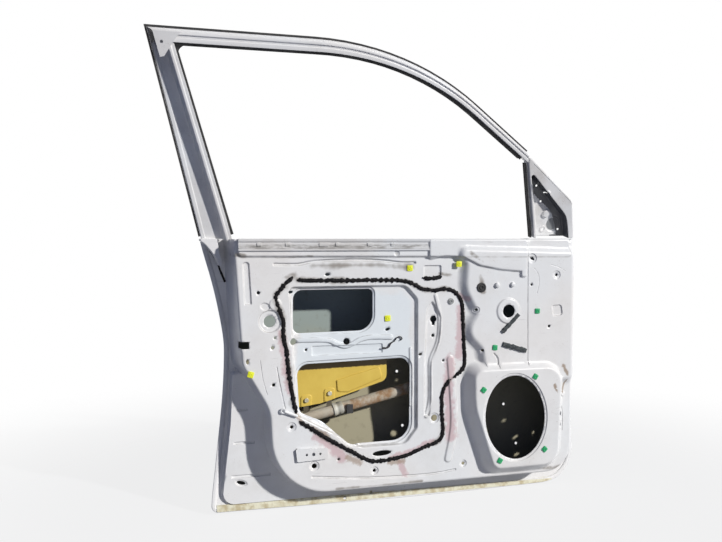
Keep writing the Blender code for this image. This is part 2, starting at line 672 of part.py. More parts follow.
def upper_sash_rail():
    """Roll-formed rail: outer lip, stepped inner face and the channel for the glass run."""
    path = rail_path()
    step_v = RAIL_FACE_V + 0.0025

    def section(share):
        width = rail_width(share)
        floor, s = width - CHANNEL_DEPTH, width / RAIL_WIDTH
        return [(0.000, -0.0020), (0.0040 * s, -0.0020), (0.0040 * s, -0.0130),
                (0.0105 * s, RAIL_FACE_V), (0.0118 * s, step_v), (0.0175 * s, step_v),
                (0.0188 * s, RAIL_FACE_V), (width, RAIL_FACE_V), (width, CHANNEL_FACE_V),
                (floor, CHANNEL_FACE_V), (floor, CHANNEL_BACK_V), (width, CHANNEL_BACK_V),
                (width, RAIL_BACK_V), (0.000, RAIL_BACK_V)]

    arm = (inner_corner() - Vector((FRAME_REAR_X, FRAME_TOP_W))) / RAIL_WIDTH
    path[0] = (FRAME_REAR_X + GAP, FRAME_TOP_W)
    return sweep("upper_sash_rail", path, section, WHITE_PAINT, start_arm=arm,
                 end_arm=(0.0, -math.sqrt(1 + RAIL_FALL ** 2)), place=FRAME_PLACE)


def rear_sash():
    """Rear sash: flat floor, wall up to the front ridge, and glass run channel."""
    top = Vector((FRAME_REAR_X, FRAME_TOP_W))
    foot = Vector((sash_line(FRAME_FOOT_W), FRAME_FOOT_W))
    ledge_v = RAIL_FACE_V + 0.0020
    corner_width = sash_width(FRAME_TOP_W - RAIL_WIDTH)

    def section(share):
        width = SASH_WIDTH + (corner_width - SASH_WIDTH) * share
        level = SASH_FLOOR_V + (SASH_TOP_FLOOR_V - SASH_FLOOR_V) * share
        floor = width - CHANNEL_DEPTH
        return [(0.000, level), (width - 0.0200, level), (width - 0.0140, RAIL_FACE_V),
                (width - 0.0080, RAIL_FACE_V), (width - 0.0065, ledge_v), (width, ledge_v),
                (width, CHANNEL_FACE_V), (floor, CHANNEL_FACE_V), (floor, CHANNEL_BACK_V),
                (width, CHANNEL_BACK_V), (width, RAIL_BACK_V), (width - 0.0100, SASH_BACK_V),
                (0.000, SASH_BACK_V)]

    arm = (inner_corner() - top) / corner_width
    slant = math.sqrt(1 + SASH_FALL ** 2)
    return sweep("rear_sash", [foot, top], section, WHITE_PAINT, start_arm=(slant, 0.0),
                 end_arm=arm, place=FRAME_PLACE)


def glass_run():
    """Rubber run in the channels of the sash and the rail, with a web in the rear corner."""
    path = rail_path()
    slant = math.sqrt(1 + SASH_FALL ** 2)
    corner = inner_corner()
    foot_w = FRAME_FOOT_W + 0.006
    inner = [Vector((sash_line(foot_w) + sash_width(foot_w) * slant, foot_w)), corner]
    offset_path = []
    count = len(path)
    for i in range(1, count):
        here = Vector(path[i])
        one = (here - Vector(path[i - 1])).normalized()
        two = (Vector(path[i + 1]) - here).normalized() if i < count - 1 else one
        right = (Vector((one.y, -one.x)) + Vector((two.y, -two.x))).normalized()
        offset_path.append(here + right * rail_width(i / (count - 1)))
    last, end = offset_path[-2], offset_path[-1]
    offset_path[-1] = end.lerp(last, (end.x - RUN_FRONT_X) / (end.x - last.x))
    deep = CHANNEL_DEPTH - 0.0010
    low, high, wall = CHANNEL_FACE_V + GAP, CHANNEL_BACK_V - GAP, 0.0022
    section = [(-deep, low), (RUN_LIP, low), (RUN_LIP, low + wall), (-deep + wall, low + wall),
               (-deep + wall, high - wall), (RUN_LIP, high - wall), (RUN_LIP, high), (-deep, high)]
    run = sweep("glass_run", inner + offset_path, section, RUBBER, place=FRAME_PLACE)
    start = Vector((RUN_WEB, -RUN_LIP * 0.5))
    finish_at = Vector((RUN_LIP * 0.5 + RUN_WEB * SASH_FALL, -RUN_WEB))
    bend = Vector((RUN_LIP, -RUN_LIP)) * 1.15
    arc = [start * (1 - t) ** 2 + bend * 2 * t * (1 - t) + finish_at * t * t
           for t in (k / 7 for k in range(8))]
    hidden = [Vector((0.001, -RUN_WEB)), Vector((0.001, -0.001)), Vector((RUN_WEB, -0.001))]
    hidden[0].x += RUN_WEB * SASH_FALL
    outline = [tuple(corner + p) for p in hidden + arc]
    web = prism("run_web", outline, low + 0.0004, low + wall - 0.0004, RUBBER)
    web.matrix_world = FRAME_PLACE
    return combine(run, web, "UNION")


def frame_edge_seal():
    """Thin black lip along the outer edge of the rail and the sash."""
    path = rail_path()
    foot = (sash_line(FRAME_FOOT_W), FRAME_FOOT_W)
    section = [(-GAP - 0.0045, 0.004), (-GAP, 0.004), (-GAP, 0.0125), (-GAP - 0.0045, 0.0125)]
    return sweep("frame_edge_seal", [foot] + path, section, RUBBER, place=FRAME_PLACE)


def from_corner(points):
    """Points given forward of and below the frame's rear upper corner."""
    return [(FRAME_REAR_X + x, FRAME_TOP_W - down) for x, down in points]


def corner_gusset():
    """Small plate over the mitre of the rear upper corner."""
    outline = from_corner(GUSSET_OUTLINE)
    seat = RAIL_FACE_V - GAP
    plate = prism("corner_gusset", outline, seat - 0.0015, seat, WHITE_PAINT)
    plate.matrix_world = FRAME_PLACE
    x, down, radius = GUSSET_HOLE
    (hole_x, hole_w), = from_corner([(x, down)])
    hole = prism("gusset_hole", oval(hole_x, hole_w, radius, radius, 0, 10), -0.03, 0.0)
    hole.matrix_world = FRAME_PLACE
    return combine(plate, hole)


def corner_cap():
    """Black moulded cap on the outer corner of the frame."""
    seat = SASH_TOP_FLOOR_V - 0.0008 - GAP
    cap = prism("corner_cap", from_corner(CAP_OUTLINE), -0.0125, seat, BLACK_PAINT)
    cap.matrix_world = FRAME_PLACE
    return cap


def on_sail(corner):
    """Corner or hole of the mirror triangle, raised or lowered with the triangle's top."""
    x, w, *radii = corner
    return (x, w * rail_w(RAIL_FRONT_X) / SAIL_HEIGHT, *radii)


def division_top_w():
    """Height at which the division bar meets the upper rail."""
    under_rail = rail_width(1.0) * math.sqrt(1 + RAIL_FALL ** 2)
    return rail_w(DIVISION_TOP_X + DIVISION_WIDTH) - under_rail - DIVISION_TOP_GAP


def sail_outline():
    """Outline of the triangle that carries the door mirror."""
    side_gap = GAP + 0.0012
    return rounded([(RAIL_FRONT_X + side_gap, rail_w(RAIL_FRONT_X) - 0.006, 0.006),
                    on_sail(SAIL_BEND), (SAIL_FRONT_X, FRAME_FOOT_W, 0.006),
                    (DIVISION_FOOT_X + DIVISION_WIDTH + side_gap, FRAME_FOOT_W, 0.006),
                    (RAIL_FRONT_X + side_gap, division_top_w(), 0.006)], 4)


def mirror_bracket():
    """Pressed triangle with a raised rim along its slope and a flat floor with holes."""
    outline = sail_outline()
    bracket = drafted("mirror_bracket", inset(outline, -0.001), inset(outline, 0.0005), RAIL_BACK_V,
                      RAIL_FACE_V, 0.003)
    bracket.data.materials.clear()
    bracket.data.materials.append(material(*WHITE_PAINT))
    floor = rounded([on_sail(c) for c in SAIL_FLOOR], 4)
    combine(bracket, drafted("sail_floor", inset(floor, -0.004), floor, -0.020, SAIL_FLOOR_V, 0.002))
    drop_faces(bracket, lambda c: c.y > RAIL_BACK_V - 0.0005)
    thicken(bracket, INNER_SHEET)
    holes = [oval(x, w, r, r) for x, w, r in map(on_sail, SAIL_HOLES)]
    holes.append(rounded([on_sail(c) for c in SAIL_SLOT], 2))
    combine(bracket, prisms("sail_holes", holes, -0.02, 0.03))
    bracket.matrix_world = FRAME_PLACE
    return bracket


def division_bar():
    """Channel that guides the front edge of the glass."""
    path = [(DIVISION_TOP_X + DIVISION_WIDTH, division_top_w()),
            (DIVISION_FOOT_X + DIVISION_WIDTH, FRAME_FOOT_W)]
    fall = Vector(path[1]) - Vector(path[0])
    level = -fall.length / abs(fall.y)
    wide, wall, half = DIVISION_WIDTH, 0.002, DIVISION_HALF_DEPTH
    section = [(0.0, -half), (wide, -half), (wide, wall - half), (wall, wall - half),
               (wall, half - wall), (wide, half - wall), (wide, half), (0.0, half)]
    return sweep("division_bar", path, section, BLACK_PAINT, start_arm=(level, 0.0),
                 end_arm=(level, 0.0), place=FRAME_PLACE)


# Belt

def belt_inner_rail():
    """Stepped strip along the top of the inner pressing."""
    back = BAND_Y - GAP
    rings = [[(x, back - rise, BELT_Z + z) for rise, z in BELT_STEPS]
             for x in (PAN_REAR_X + 0.014, BELT_FRONT_X)]
    return finish("belt_inner_rail", closed_mesh("belt_inner_rail", [rings]), WHITE_PAINT)


def belt_outer_rail():
    """Stiffening strip behind the top of the outer skin."""
    depth = SKIN_SHEET + GAP
    return barrel("belt_outer_rail", depth, depth + 0.0012, PAN_REAR_X + 0.004, -0.006,
                  BELT_Z - 0.054, BELT_Z - 0.001, finish_of=WHITE_PAINT, steps=4)


def sash_foot():
    """Box that carries the rear sash above the shut face."""
    rear, front = -0.936, -0.9045
    top, low = BELT_Z + 0.0010, BELT_Z - 0.0160
    outline = [(rear, top), (front, top), (front + 0.002, low), (rear + 0.005, low)]
    flange = skin_y(top) - FLANGE_OFFSET - GAP
    return prism("sash_foot", outline, 0.006, flange, WHITE_PAINT)


def sail_base():
    """Level plate that closes the belt under the mirror triangle."""
    low = BELT_Z + GAP
    outline = [(-0.135, BAND_Y), (-0.006, BAND_Y), (0.006, 0.046), (-0.110, 0.046)]
    rings = [[(x, y, z) for x, y in outline] for z in (low, low + 0.0015)]
    return finish("sail_base", closed_mesh("sail_base", [rings]), WHITE_PAINT)


# Side impact tube and what it carries

def along_tube(x, radius, sides=16):
    """Ring square to the tube's axis."""
    tilt = math.atan2(TUBE_FRONT[1] - TUBE_REAR[1], TUBE_FRONT[0] - TUBE_REAR[0])
    ring = []
    for k in range(sides):
        a = 2 * math.pi * (k + 0.5) / sides
        u, v = radius * math.cos(a), radius * math.sin(a)
        ring.append((x - u * math.sin(tilt), TUBE_Y + v, tube_z(x) + u * math.cos(tilt)))
    return ring


def pipe(name, x_low, x_high, inner, outer, finish_of):
    """Open tube round the impact tube's axis."""
    bm = bmesh.new()
    rings = [along_tube(x_low, outer), along_tube(x_high, outer), along_tube(x_high, inner),
             along_tube(x_low, inner), along_tube(x_low, outer)]
    skin_rings(bm, rings, capped=False)
    bmesh.ops.remove_doubles(bm, verts=bm.verts, dist=0.00001)
    bmesh.ops.recalc_face_normals(bm, faces=bm.faces)
    mesh = bpy.data.meshes.new(name)
    bm.to_mesh(mesh)
    bm.free()
    return finish(name, mesh, finish_of, True)


def impact_tube():
    """Steel tube across the door."""
    return pipe("impact_tube", TUBE_REAR[0], TUBE_FRONT[0], TUBE_RADIUS - 0.002, TUBE_RADIUS,
                RUSTY_STEEL)


def tube_sleeve():
    """Clamp sleeve on the tube."""
    return pipe("tube_sleeve", SLEEVE_REAR_X, SLEEVE_FRONT_X, TUBE_RADIUS + GAP,
                TUBE_RADIUS + GAP + 0.002, ZINC)


def cradle(name, outline, y_low, y_high):
    """Bracket with a round seat for the tube."""
    return combine(prism(name, outline, y_low, y_high, GREY_PAINT), tube_seat())


def tube_rear_bracket():
    """Flat plate from the tube's rear end to the back of the corner shelf."""
    z = tube_z(-0.820)
    outline = rounded([(-0.872, z - 0.017, 0.006), (-0.770, z - 0.012, 0.006),
                       (-0.770, z + 0.034, 0.006), (-0.866, z + 0.034, 0.006)], 2)
    return prism("tube_rear_bracket", outline, TUBE_PLATE_Y, TUBE_PLATE_Y + BRACKET_SHEET,
                 GREY_PAINT)


def tube_front_bracket():
    """Cradle and foot on the front wall."""
    z = tube_z(-0.045)
    end = -INNER_SHEET - GAP
    outline = [(-0.085, z - 0.028), (-0.020, z - 0.028), (end - 0.003, z - 0.045), (end, z - 0.045),
               (end, z + 0.045), (end - 0.003, z + 0.045), (-0.020, z + 0.028),
               (-0.085, z + 0.022)]
    return cradle("tube_front_bracket", outline, TUBE_Y + 0.002, TUBE_Y + TUBE_RADIUS + 0.004)


def yellow_plate():
    """Folded plate behind the lower service opening, with two screw tabs."""
    plate = prism("yellow_plate", rounded([
        (-0.775, PLATE_TOP_Z, 0.010), (-0.499, PLATE_TOP_Z + 0.004, 0.012),
        (-0.499, -0.206, 0.012), (-0.606, -0.232, 0.020), (-0.775, -0.262, 0.012)], 4),
        PLATE_Y, PLATE_Y + BRACKET_SHEET, YELLOW_STEEL)
    tabs = prisms("tabs", [oval(x, z, 0.013, 0.017, 0.2, 16) for x, z in PLATE_SCREWS],
                  PLATE_Y - TAB_PROUD, PLATE_Y + BRACKET_SHEET - 0.0005)
    combine(plate, tabs, "UNION")
    fold = prism("fold", [(-0.775, -0.262), (-0.606, -0.206), (-0.520, -0.181), (-0.520, -0.177),
                          (-0.606, -0.202), (-0.775, -0.258)], PLATE_Y - 0.0012, PLATE_Y + 0.001)
    combine(plate, fold, "UNION")
    holes = prisms("screw_holes", [oval(x, z, 0.0035, 0.0035, 0, 10) for x, z in PLATE_SCREWS],
                   PLATE_Y - 0.01, PLATE_Y + 0.01)
    return combine(plate, holes)


def plate_screw(name, x, z):
    """Hexagon screw through a tab of the plate."""
    face = PLATE_Y - TAB_PROUD - GAP
    head = prism(name, oval(x, z, 0.006, 0.006, 0, 6), face - 0.004, face, ZINC)
    shank = prism(name + "_shank", oval(x, z, 0.0030, 0.0030, 0, 10), face - 0.002, PLATE_Y + 0.008)
    return combine(head, shank, "UNION")


def tube_seat():
    """Tool of the tube's size with clearance, for what is fitted round it."""
    rings = [along_tube(x, TUBE_RADIUS + GAP) for x in (-1.0, 0.1)]
    return finish("tube_seat", closed_mesh("tube_seat", [rings]), GREY_PAINT)


def plate_strap(name, x, z):
    """Strap from the tube up to a tab of the plate."""
    y = PLATE_Y + BRACKET_SHEET + GAP
    outline = rectangle(x - 0.0065, x + 0.0065, tube_z(x) + 0.004, z + 0.012)
    strap = prism(name, outline, y, y + BRACKET_SHEET, GREY_PAINT)
    hole = prism("strap_hole", oval(x, z, 0.0034, 0.0034, 0, 10), y - 0.01, y + 0.01)
    combine(strap, hole)
    return combine(strap, tube_seat())


def tube_lug():
    """Small square lug on the tube."""
    x = -0.598
    z = tube_z(x)
    lug = box("tube_lug", (x - 0.008, TUBE_Y - TUBE_RADIUS - 0.006, z - 0.016),
              (x + 0.008, TUBE_Y - 0.004, z + 0.006), BLACK_PAINT)
    return combine(lug, tube_seat())


def hinge_reinforcement(name, z):
    """Plate behind a hinge face, with its two bolt holes."""
    x_high = -INNER_SHEET - GAP
    plate = box(name, (x_high - 0.0025, -BOLT_REACH - 0.010, z - 0.045),
                (x_high, BOLT_REACH + 0.014, z + 0.045), GREY_PAINT)
    return combine(plate, bolt_tool((z,)))


# Trim on the inner face

def bead(name, route):
    """Sealing bead pressed on the inner face."""
    half, high, base = 0.0042, 0.0040, FACE_Y - GAP
    section = [(-half, base), (-0.7 * half, base - 0.75 * high), (0.0, base - high),
               (0.7 * half, base - 0.75 * high), (half, base)]
    return sweep(name, smooth(route, 2), section, BUTYL)


def clip(name, x, z, level, finish_of):
    """Square trim clip: flat head with a hole, and a square shank through the sheet."""
    back = level - GAP
    head = prism(name, square(x, z, CLIP_SIZE), back - CLIP_THICKNESS, back, finish_of)
    shank = prism(name + "_shank", square(x, z, CLIP_SHANK), back - 0.001, level + 0.008)
    combine(head, shank, "UNION")
    bore = prism(name + "_bore", oval(x, z, 0.0021, 0.0021, 0, 8), back - 0.01, level + 0.02)
    return combine(head, bore)


def clips():
    """All trim clips on the levels of the pressing that carry them."""
    yellow_levels = [FACE_Y, FACE_Y, FIELD_Y, FACE_Y]
    for i, ((x, z), level) in enumerate(zip(YELLOW_CLIPS, yellow_levels), 1):
        clip(f"clip_yellow_{i}", x, z, level, YELLOW_PLASTIC)
    green_levels = [FRONT_Y, FRONT_Y, BOSS_Y, BOSS_Y, BOSS_Y, BOSS_Y]
    for i, ((x, z), level) in enumerate(zip(GREEN_CLIPS, green_levels), 1):
        clip(f"clip_green_{i}", x, z, level, GREEN_PLASTIC)


def foam_strip(name, start, end, width, level):
    """Flat foam strip stuck on the pressing."""
    back = level - GAP
    section = [(-width / 2, back), (-width / 2, back - 0.005), (width / 2, back - 0.005),
               (width / 2, back)]
    return sweep(name, [start, end], section, FOAM)


def grommet(name, x, z, radius, level, finish_of):
    """Round plug with a domed face."""
    back = level - GAP
    rings = [at_y(oval(x, z, r, r, 0, 16), y) for r, y in
             ((radius, back), (radius, back - 0.002), (0.75 * radius, back - 0.0035),
              (0.45 * radius, back - 0.0035), (0.40 * radius, back - 0.0025))]
    return finish(name, closed_mesh(name, [rings]), finish_of, True)


def pull_bracket():
    """Small angle bracket on the lower face, with three holes."""
    back = FACE_Y - GAP
    outline = rounded([(-0.742, -0.345, 0.004), (-0.664, -0.349, 0.004), (-0.662, -0.378, 0.004),
                       (-0.740, -0.374, 0.004)], 2)
    bracket = prism("pull_bracket", outline, back - 0.006, back, WHITE_PAINT)
    pocket = prism("pocket", rounded([(-0.722, -0.350, 0.004), (-0.672, -0.353, 0.004),
                                      (-0.671, -0.372, 0.004), (-0.721, -0.370, 0.004)], 2),
                   back - 0.02, back - 0.0015)
    combine(bracket, pocket)
    holes = [oval(x, -0.362, 0.004, 0.004, 0, 10) for x in (-0.708, -0.694, -0.681)]
    return combine(bracket, prisms("bracket_holes", holes, back - 0.03, back + 0.02))


def stub_pin():
    """Short pin that leans out of the lower left of the inner face."""
    start, end = Vector((-0.776, -0.2665)), Vector((-0.753, -0.2570))
    section = oval(0.0, FACE_Y - GAP - 0.0045, 0.0042, 0.0042, 0, 10)
    return sweep("stub_pin", [start, end], section, GREY_PAINT)


def wire_clip():
    """Small wire clip in the recess between the service openings."""
    level = FIELD_Y - GAP
    route = smooth([(-0.522, -0.113), (-0.503, -0.112), (-0.492, -0.100), (-0.486, -0.088),
                    (-0.476, -0.089)], 3)
    section = [(-0.0022, level), (-0.0022, level - 0.004), (0.0022, level - 0.004), (0.0022, level)]
    return sweep("wire_clip", route, section, BLACK_PAINT)


def shut_strip():
    """Curved rubber strip on the rear flange under the sash."""
    middle = smooth(SHUT_STRIP, 3)
    half = 0.0022
    outline = [(x - half, z) for x, z in middle] + [(x + half, z) for x, z in reversed(middle)]
    depth = FLANGE_OFFSET + GAP
    strip = barrel("shut_strip", depth, depth + 0.003, -0.95, -0.89, 0.04, 0.14,
                   finish_of=RUBBER, steps=4)
    return combine(strip, prism("strip_edge", outline, FRONT_SPACE_Y, BACK_Y), "INTERSECT")


def hem_sealer():
    """Sealer band over the bottom hem."""
    depth = HEM_OFFSET + GAP
    band = barrel("hem_sealer", depth, depth + 0.0010, -0.92, -0.02, SILL_Z, SILL_Z + 0.018,
                  finish_of=SEALER, steps=2)
    edge = inset(door_edge(), 0.002)
    combine(band, prism("sealer_edge", edge, FRONT_SPACE_Y, BACK_Y), "INTERSECT")
    taper = prism("sealer_taper", [(-0.90, SILL_Z + 0.019), (0.0, SILL_Z + 0.008),
                                   (0.0, SILL_Z + 0.03), (-0.90, SILL_Z + 0.03)], FRONT_SPACE_Y, BACK_Y)
    combine(band, taper)
    holes = prisms("sealer_holes", [oval(x, z, 0.0045, 0.0045, 0, 8) for x, z in DRAIN_HOLES],
                   0.0, BACK_Y)
    return combine(band, holes)


def build():
    """Every sub-part of the door shell."""
    for obj in list(bpy.data.objects):
        bpy.data.objects.remove(obj)
    outer_skin()
    inner_panel()
    upper_sash_rail()
    rear_sash()
    glass_run()
    frame_edge_seal()
    corner_gusset()
    corner_cap()
    mirror_bracket()
    division_bar()
    belt_inner_rail()
    belt_outer_rail()
    sash_foot()
    sail_base()
    impact_tube()
    tube_sleeve()
    tube_rear_bracket()
    tube_front_bracket()
    tube_lug()
    yellow_plate()
    for i, (x, z) in enumerate(PLATE_SCREWS, 1):
        plate_screw(f"plate_screw_{i}", x, z)
        plate_strap(f"plate_strap_{i}", x, z)
    hinge_reinforcement("hinge_reinforcement_upper", 0.0)
    hinge_reinforcement("hinge_reinforcement_lower", -HINGE_SPACING)
    bead("bead_rear", BEAD_REAR)
    bead("bead_front", BEAD_FRONT)
    clips()
    foam_strip("foam_strip_upper", (-0.210, -0.083), (-0.165, -0.039), 0.011, FRONT_Y)
    foam_strip("foam_strip_lower", (-0.208, -0.114), (-0.143, -0.133), 0.013, FRONT_Y)
    grommet("grommet_black", -0.268, 0.031, 0.0125, FRONT_Y, RUBBER)
    grommet("grommet_grey", -0.344, -0.003, 0.0080, FACE_Y, GREY_PAINT)
    pull_bracket()
    stub_pin()
    wire_clip()
    shut_strip()
    hem_sealer()


build()
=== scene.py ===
import json
import math

import bmesh
import bpy
import numpy as np
from bpy.props import FloatProperty, FloatVectorProperty, PointerProperty
from mathutils import Matrix, Vector, noise
from mathutils.geometry import delaunay_2d_cdt


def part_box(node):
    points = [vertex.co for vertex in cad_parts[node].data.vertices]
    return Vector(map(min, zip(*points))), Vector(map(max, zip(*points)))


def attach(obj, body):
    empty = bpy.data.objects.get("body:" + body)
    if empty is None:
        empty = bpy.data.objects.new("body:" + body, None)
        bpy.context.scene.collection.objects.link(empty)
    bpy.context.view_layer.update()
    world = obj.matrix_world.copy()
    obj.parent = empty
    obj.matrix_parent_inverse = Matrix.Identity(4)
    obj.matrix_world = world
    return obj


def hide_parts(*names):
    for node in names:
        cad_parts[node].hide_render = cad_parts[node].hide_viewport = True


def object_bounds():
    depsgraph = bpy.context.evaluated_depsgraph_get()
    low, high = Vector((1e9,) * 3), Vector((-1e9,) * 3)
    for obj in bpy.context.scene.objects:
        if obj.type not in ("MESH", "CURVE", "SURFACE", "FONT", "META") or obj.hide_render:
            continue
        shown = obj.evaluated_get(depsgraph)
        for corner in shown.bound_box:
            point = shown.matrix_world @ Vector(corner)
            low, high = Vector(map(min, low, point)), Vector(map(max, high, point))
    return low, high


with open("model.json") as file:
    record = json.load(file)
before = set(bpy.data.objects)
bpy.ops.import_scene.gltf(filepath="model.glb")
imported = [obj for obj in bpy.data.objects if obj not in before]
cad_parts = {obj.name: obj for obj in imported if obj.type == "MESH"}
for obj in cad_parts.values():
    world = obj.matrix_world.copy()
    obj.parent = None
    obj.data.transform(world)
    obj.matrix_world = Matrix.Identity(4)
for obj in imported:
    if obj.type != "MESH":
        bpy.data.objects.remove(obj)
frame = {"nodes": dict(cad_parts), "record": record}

CAD_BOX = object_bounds()

bl_info = {
    "name": "Door shell dressing",
    "version": (1, 0, 0),
    "blender": (4, 5, 0),
    "location": "View3D > Sidebar > Door Shell",
    "description": "Finished pressings, frame, sealing, clips and paint of a stripped front door shell",
    "category": "Add Mesh",
}

# Levels of the pressings, in metres: X forward, Y outward, Z up
SKIN_SHEET = 0.0009
INNER_SHEET = 0.0010
GAP = 0.0003
BELT_Z = 0.152
CROWN_Y, CROWN_Z, CROWN_RADIUS = 0.067, -0.080, 2.5
FLANGE_DEPTH = SKIN_SHEET + GAP + INNER_SHEET
HEM_DEPTH = FLANGE_DEPTH + GAP + SKIN_SHEET
FACE_Y = -0.036
BAND_RAISE = 0.006
FOLD_EMPHASIS = 1.25
FRONT_RAISE = 0.016
BOSS_RAISE = 0.032
FIELD_SINK = 0.008
FRONT_Y = FACE_Y - FRONT_RAISE
BOSS_Y = FACE_Y - BOSS_RAISE
FIELD_Y = FACE_Y + FIELD_SINK
SHOULDER = 0.006
WALL_STEEPNESS = 7.0
FRONT_STEEPNESS = 20.0
SILL_Z = -0.505

# Leaning plane of the window frame
FRAME_LEAN = math.radians(16.7)
FRAME_Y = 0.017
FRAME_PLACE = Matrix.Translation((0, FRAME_Y, BELT_Z)) @ Matrix.Rotation(FRAME_LEAN, 4, "X")
FRAME_TOP_W = 0.469
FRAME_REAR_X = -1.076
RAIL_WIDTH, RAIL_FRONT_WIDTH = 0.0270, 0.0190
RAIL_BEND_X, RAIL_BEND_RADIUS, RAIL_FALL = -0.484, 0.720, 0.700
RAIL_FRONT_X = -0.1425
SASH_WIDTH, SASH_TOP_WIDTH, SASH_FALL = 0.0690, 0.0430, 0.262
SASH_FLOOR_V, SASH_TOP_FLOOR_V = 0.0010, 0.0110
FRAME_FOOT_W = 0.006
CHANNEL_DEPTH = 0.0110
DIVISION_TOP_X, DIVISION_FOOT_X, DIVISION_WIDTH = -0.149, -0.101, 0.0060

# Axis of the impact tube
TUBE_RADIUS = 0.0135
TUBE_REAR, TUBE_FRONT = (-0.797, -0.305), (-0.030, -0.134)
SHELF_Y = CROWN_Y - (-0.458 - CROWN_Z) ** 2 / (2 * CROWN_RADIUS) - FLANGE_DEPTH - 0.012
TUBE_Y = SHELF_Y + INNER_SHEET + 0.0010 - GAP - TUBE_RADIUS

# Spacing of the points within the sheets and along their outlines
PANEL_GRID, SKIN_GRID, SAIL_GRID = 0.0065, 0.014, 0.0035
OUTLINE_STEP = 0.010
WELD_REACH = 0.00001

# Camera and key light
PICTURE_WIDTH, LENS_PIXELS, SENSOR_WIDTH = 722.0, 800.0, 36.0
CAMERA_PLACE = (-1.127, -1.888, 0.150)
CAMERA_YAW, CAMERA_DIP = math.radians(16.5), math.atan(31 / 800)
SUN_TRAVEL = (-0.084, 0.092, -0.058)
SUN_COLOUR, SUN_SPREAD = (1.0, 0.975, 0.93), math.radians(2.5)
SKY_COLOUR, FLOOR_COLOUR = (0.42, 0.54, 1.0, 1.0), (0.37, 0.38, 0.41, 1.0)
FLOOR_MIDDLE, FLOOR_GLOW, FLOOR_FADE = -0.45, 0.84, (0.7, 2.0)

# Dirt colours of the finishes, and the painted shade of the folds and of the yellow plate's upper strip
HAZE, SPECKS, SCUFFS = (0.60, 0.58, 0.56), (0.36, 0.31, 0.26), (0.42, 0.41, 0.41)
FOLD_SHADE, BELT_STREAK, PLATE_TOP_SHADOW = (0.20, 0.18, 0.16), (0.20, 0.19, 0.18), (0.060, 0.036, 0.010)


class DoorShellSettings(bpy.types.PropertyGroup):
    """Sizes and colours of the door shell that a user may change."""

    bead_width: FloatProperty(name="Bead width", description="Width of the sealing bead",
                              default=0.0094, unit="LENGTH")
    bead_height: FloatProperty(name="Bead height", description="Height of the sealing bead",
                               default=0.0040, unit="LENGTH")
    edge_radius: FloatProperty(name="Edge radius", description="Rounding of folded sheet edges",
                               default=0.0006, unit="LENGTH")
    paint_colour: FloatVectorProperty(name="Paint", description="Body paint", subtype="COLOR",
                                      size=3, default=(0.80, 0.82, 0.84))
    stain_colour: FloatVectorProperty(name="Adhesive stain", description="Stain beside the bead",
                                      subtype="COLOR", size=3, default=(0.55, 0.33, 0.36))
    # Also the colour of the painted shade under the belt band, along the groove and in corners
    grime_and_shade_colour: FloatVectorProperty(name="Grime", description="Dirt in corners and along edges",
                                      subtype="COLOR", size=3, default=(0.16, 0.13, 0.10))
    yellow_clip: FloatVectorProperty(name="Yellow clip", description="Yellow clip plastic",
                                     subtype="COLOR", size=3, default=(0.80, 0.84, 0.03))
    green_clip: FloatVectorProperty(name="Green clip", description="Green clip plastic",
                                    subtype="COLOR", size=3, default=(0.010, 0.36, 0.13))
    plate_colour: FloatVectorProperty(name="Yellow plate", description="Passivated plate",
                                      subtype="COLOR", size=3, default=(0.74, 0.54, 0.10))
    sun_strength: FloatProperty(name="Key light", description="Strength of the key light", default=3.6)
    sky_strength: FloatProperty(name="Fill light", description="Strength of the surrounding light",
                                default=0.13)


def settings():
    """Settings of the door shell in the open scene."""
    return bpy.context.scene.door_shell


# Outlines

def rounded(corners, steps=6):
    """Closed outline through corners given as (x, z, radius)."""
    points = []
    count = len(corners)
    for i, (x, z, radius) in enumerate(corners):
        here = Vector((x, z))
        before = (Vector(corners[i - 1][:2]) - here).normalized()
        after = (Vector(corners[(i + 1) % count][:2]) - here).normalized()
        turn = before.angle(after)
        start = here + before * (radius / math.tan(turn / 2))
        middle = here + (before + after).normalized() * (radius / math.sin(turn / 2))
        side = 1 if before.x * after.y - before.y * after.x < 0 else -1
        arm = start - middle
        for k in range(steps + 1):
            angle = side * (math.pi - turn) * k / steps
            points.append(tuple(middle + Matrix.Rotation(angle, 2) @ arm))
    return points


def smooth(points, steps=4):
    """Open curve through every point."""
    path = []
    ends = [points[0]] + list(points) + [points[-1]]
    for i in range(1, len(ends) - 2):
        a, b, c, d = (Vector(p) for p in ends[i - 1:i + 3])
        for k in range(steps):
            t = k / steps
            path.append(tuple(0.5 * (2 * b + (c - a) * t + (2 * a - 5 * b + 4 * c - d) * t ** 2
                                     + (3 * b - a - 3 * c + d) * t ** 3)))
    path.append(tuple(points[-1]))
    return path


def oval(x, z, half_x, half_z=None, tilt=0.0, sides=20):
    """Closed ellipse."""
    half_z = half_z or half_x
    c, s = math.cos(tilt), math.sin(tilt)
    outline = []
    for k in range(sides):
        a = 2 * math.pi * (k + 0.5) / sides
        u, w = half_x * math.cos(a), half_z * math.sin(a)
        outline.append((x + u * c - w * s, z + u * s + w * c))
    return outline


def box_outline(x0, x1, z0, z1, radius=0.001):
    """Closed rectangle with rounded corners."""
    return rounded([(x0, z0, radius), (x1, z0, radius), (x1, z1, radius), (x0, z1, radius)], 3)


def keyhole(x, z, radius, half_slot, drop):
    """Round hole with a narrower slot below it."""
    start = -math.pi / 2 + math.asin(half_slot / radius)
    turn = 2 * math.pi - 2 * math.asin(half_slot / radius)
    arc = [(x + radius * math.cos(start + turn * k / 18), z + radius * math.sin(start + turn * k / 18))
           for k in range(19)]
    return arc + [(x - half_slot, z - drop), (x + half_slot, z - drop)]


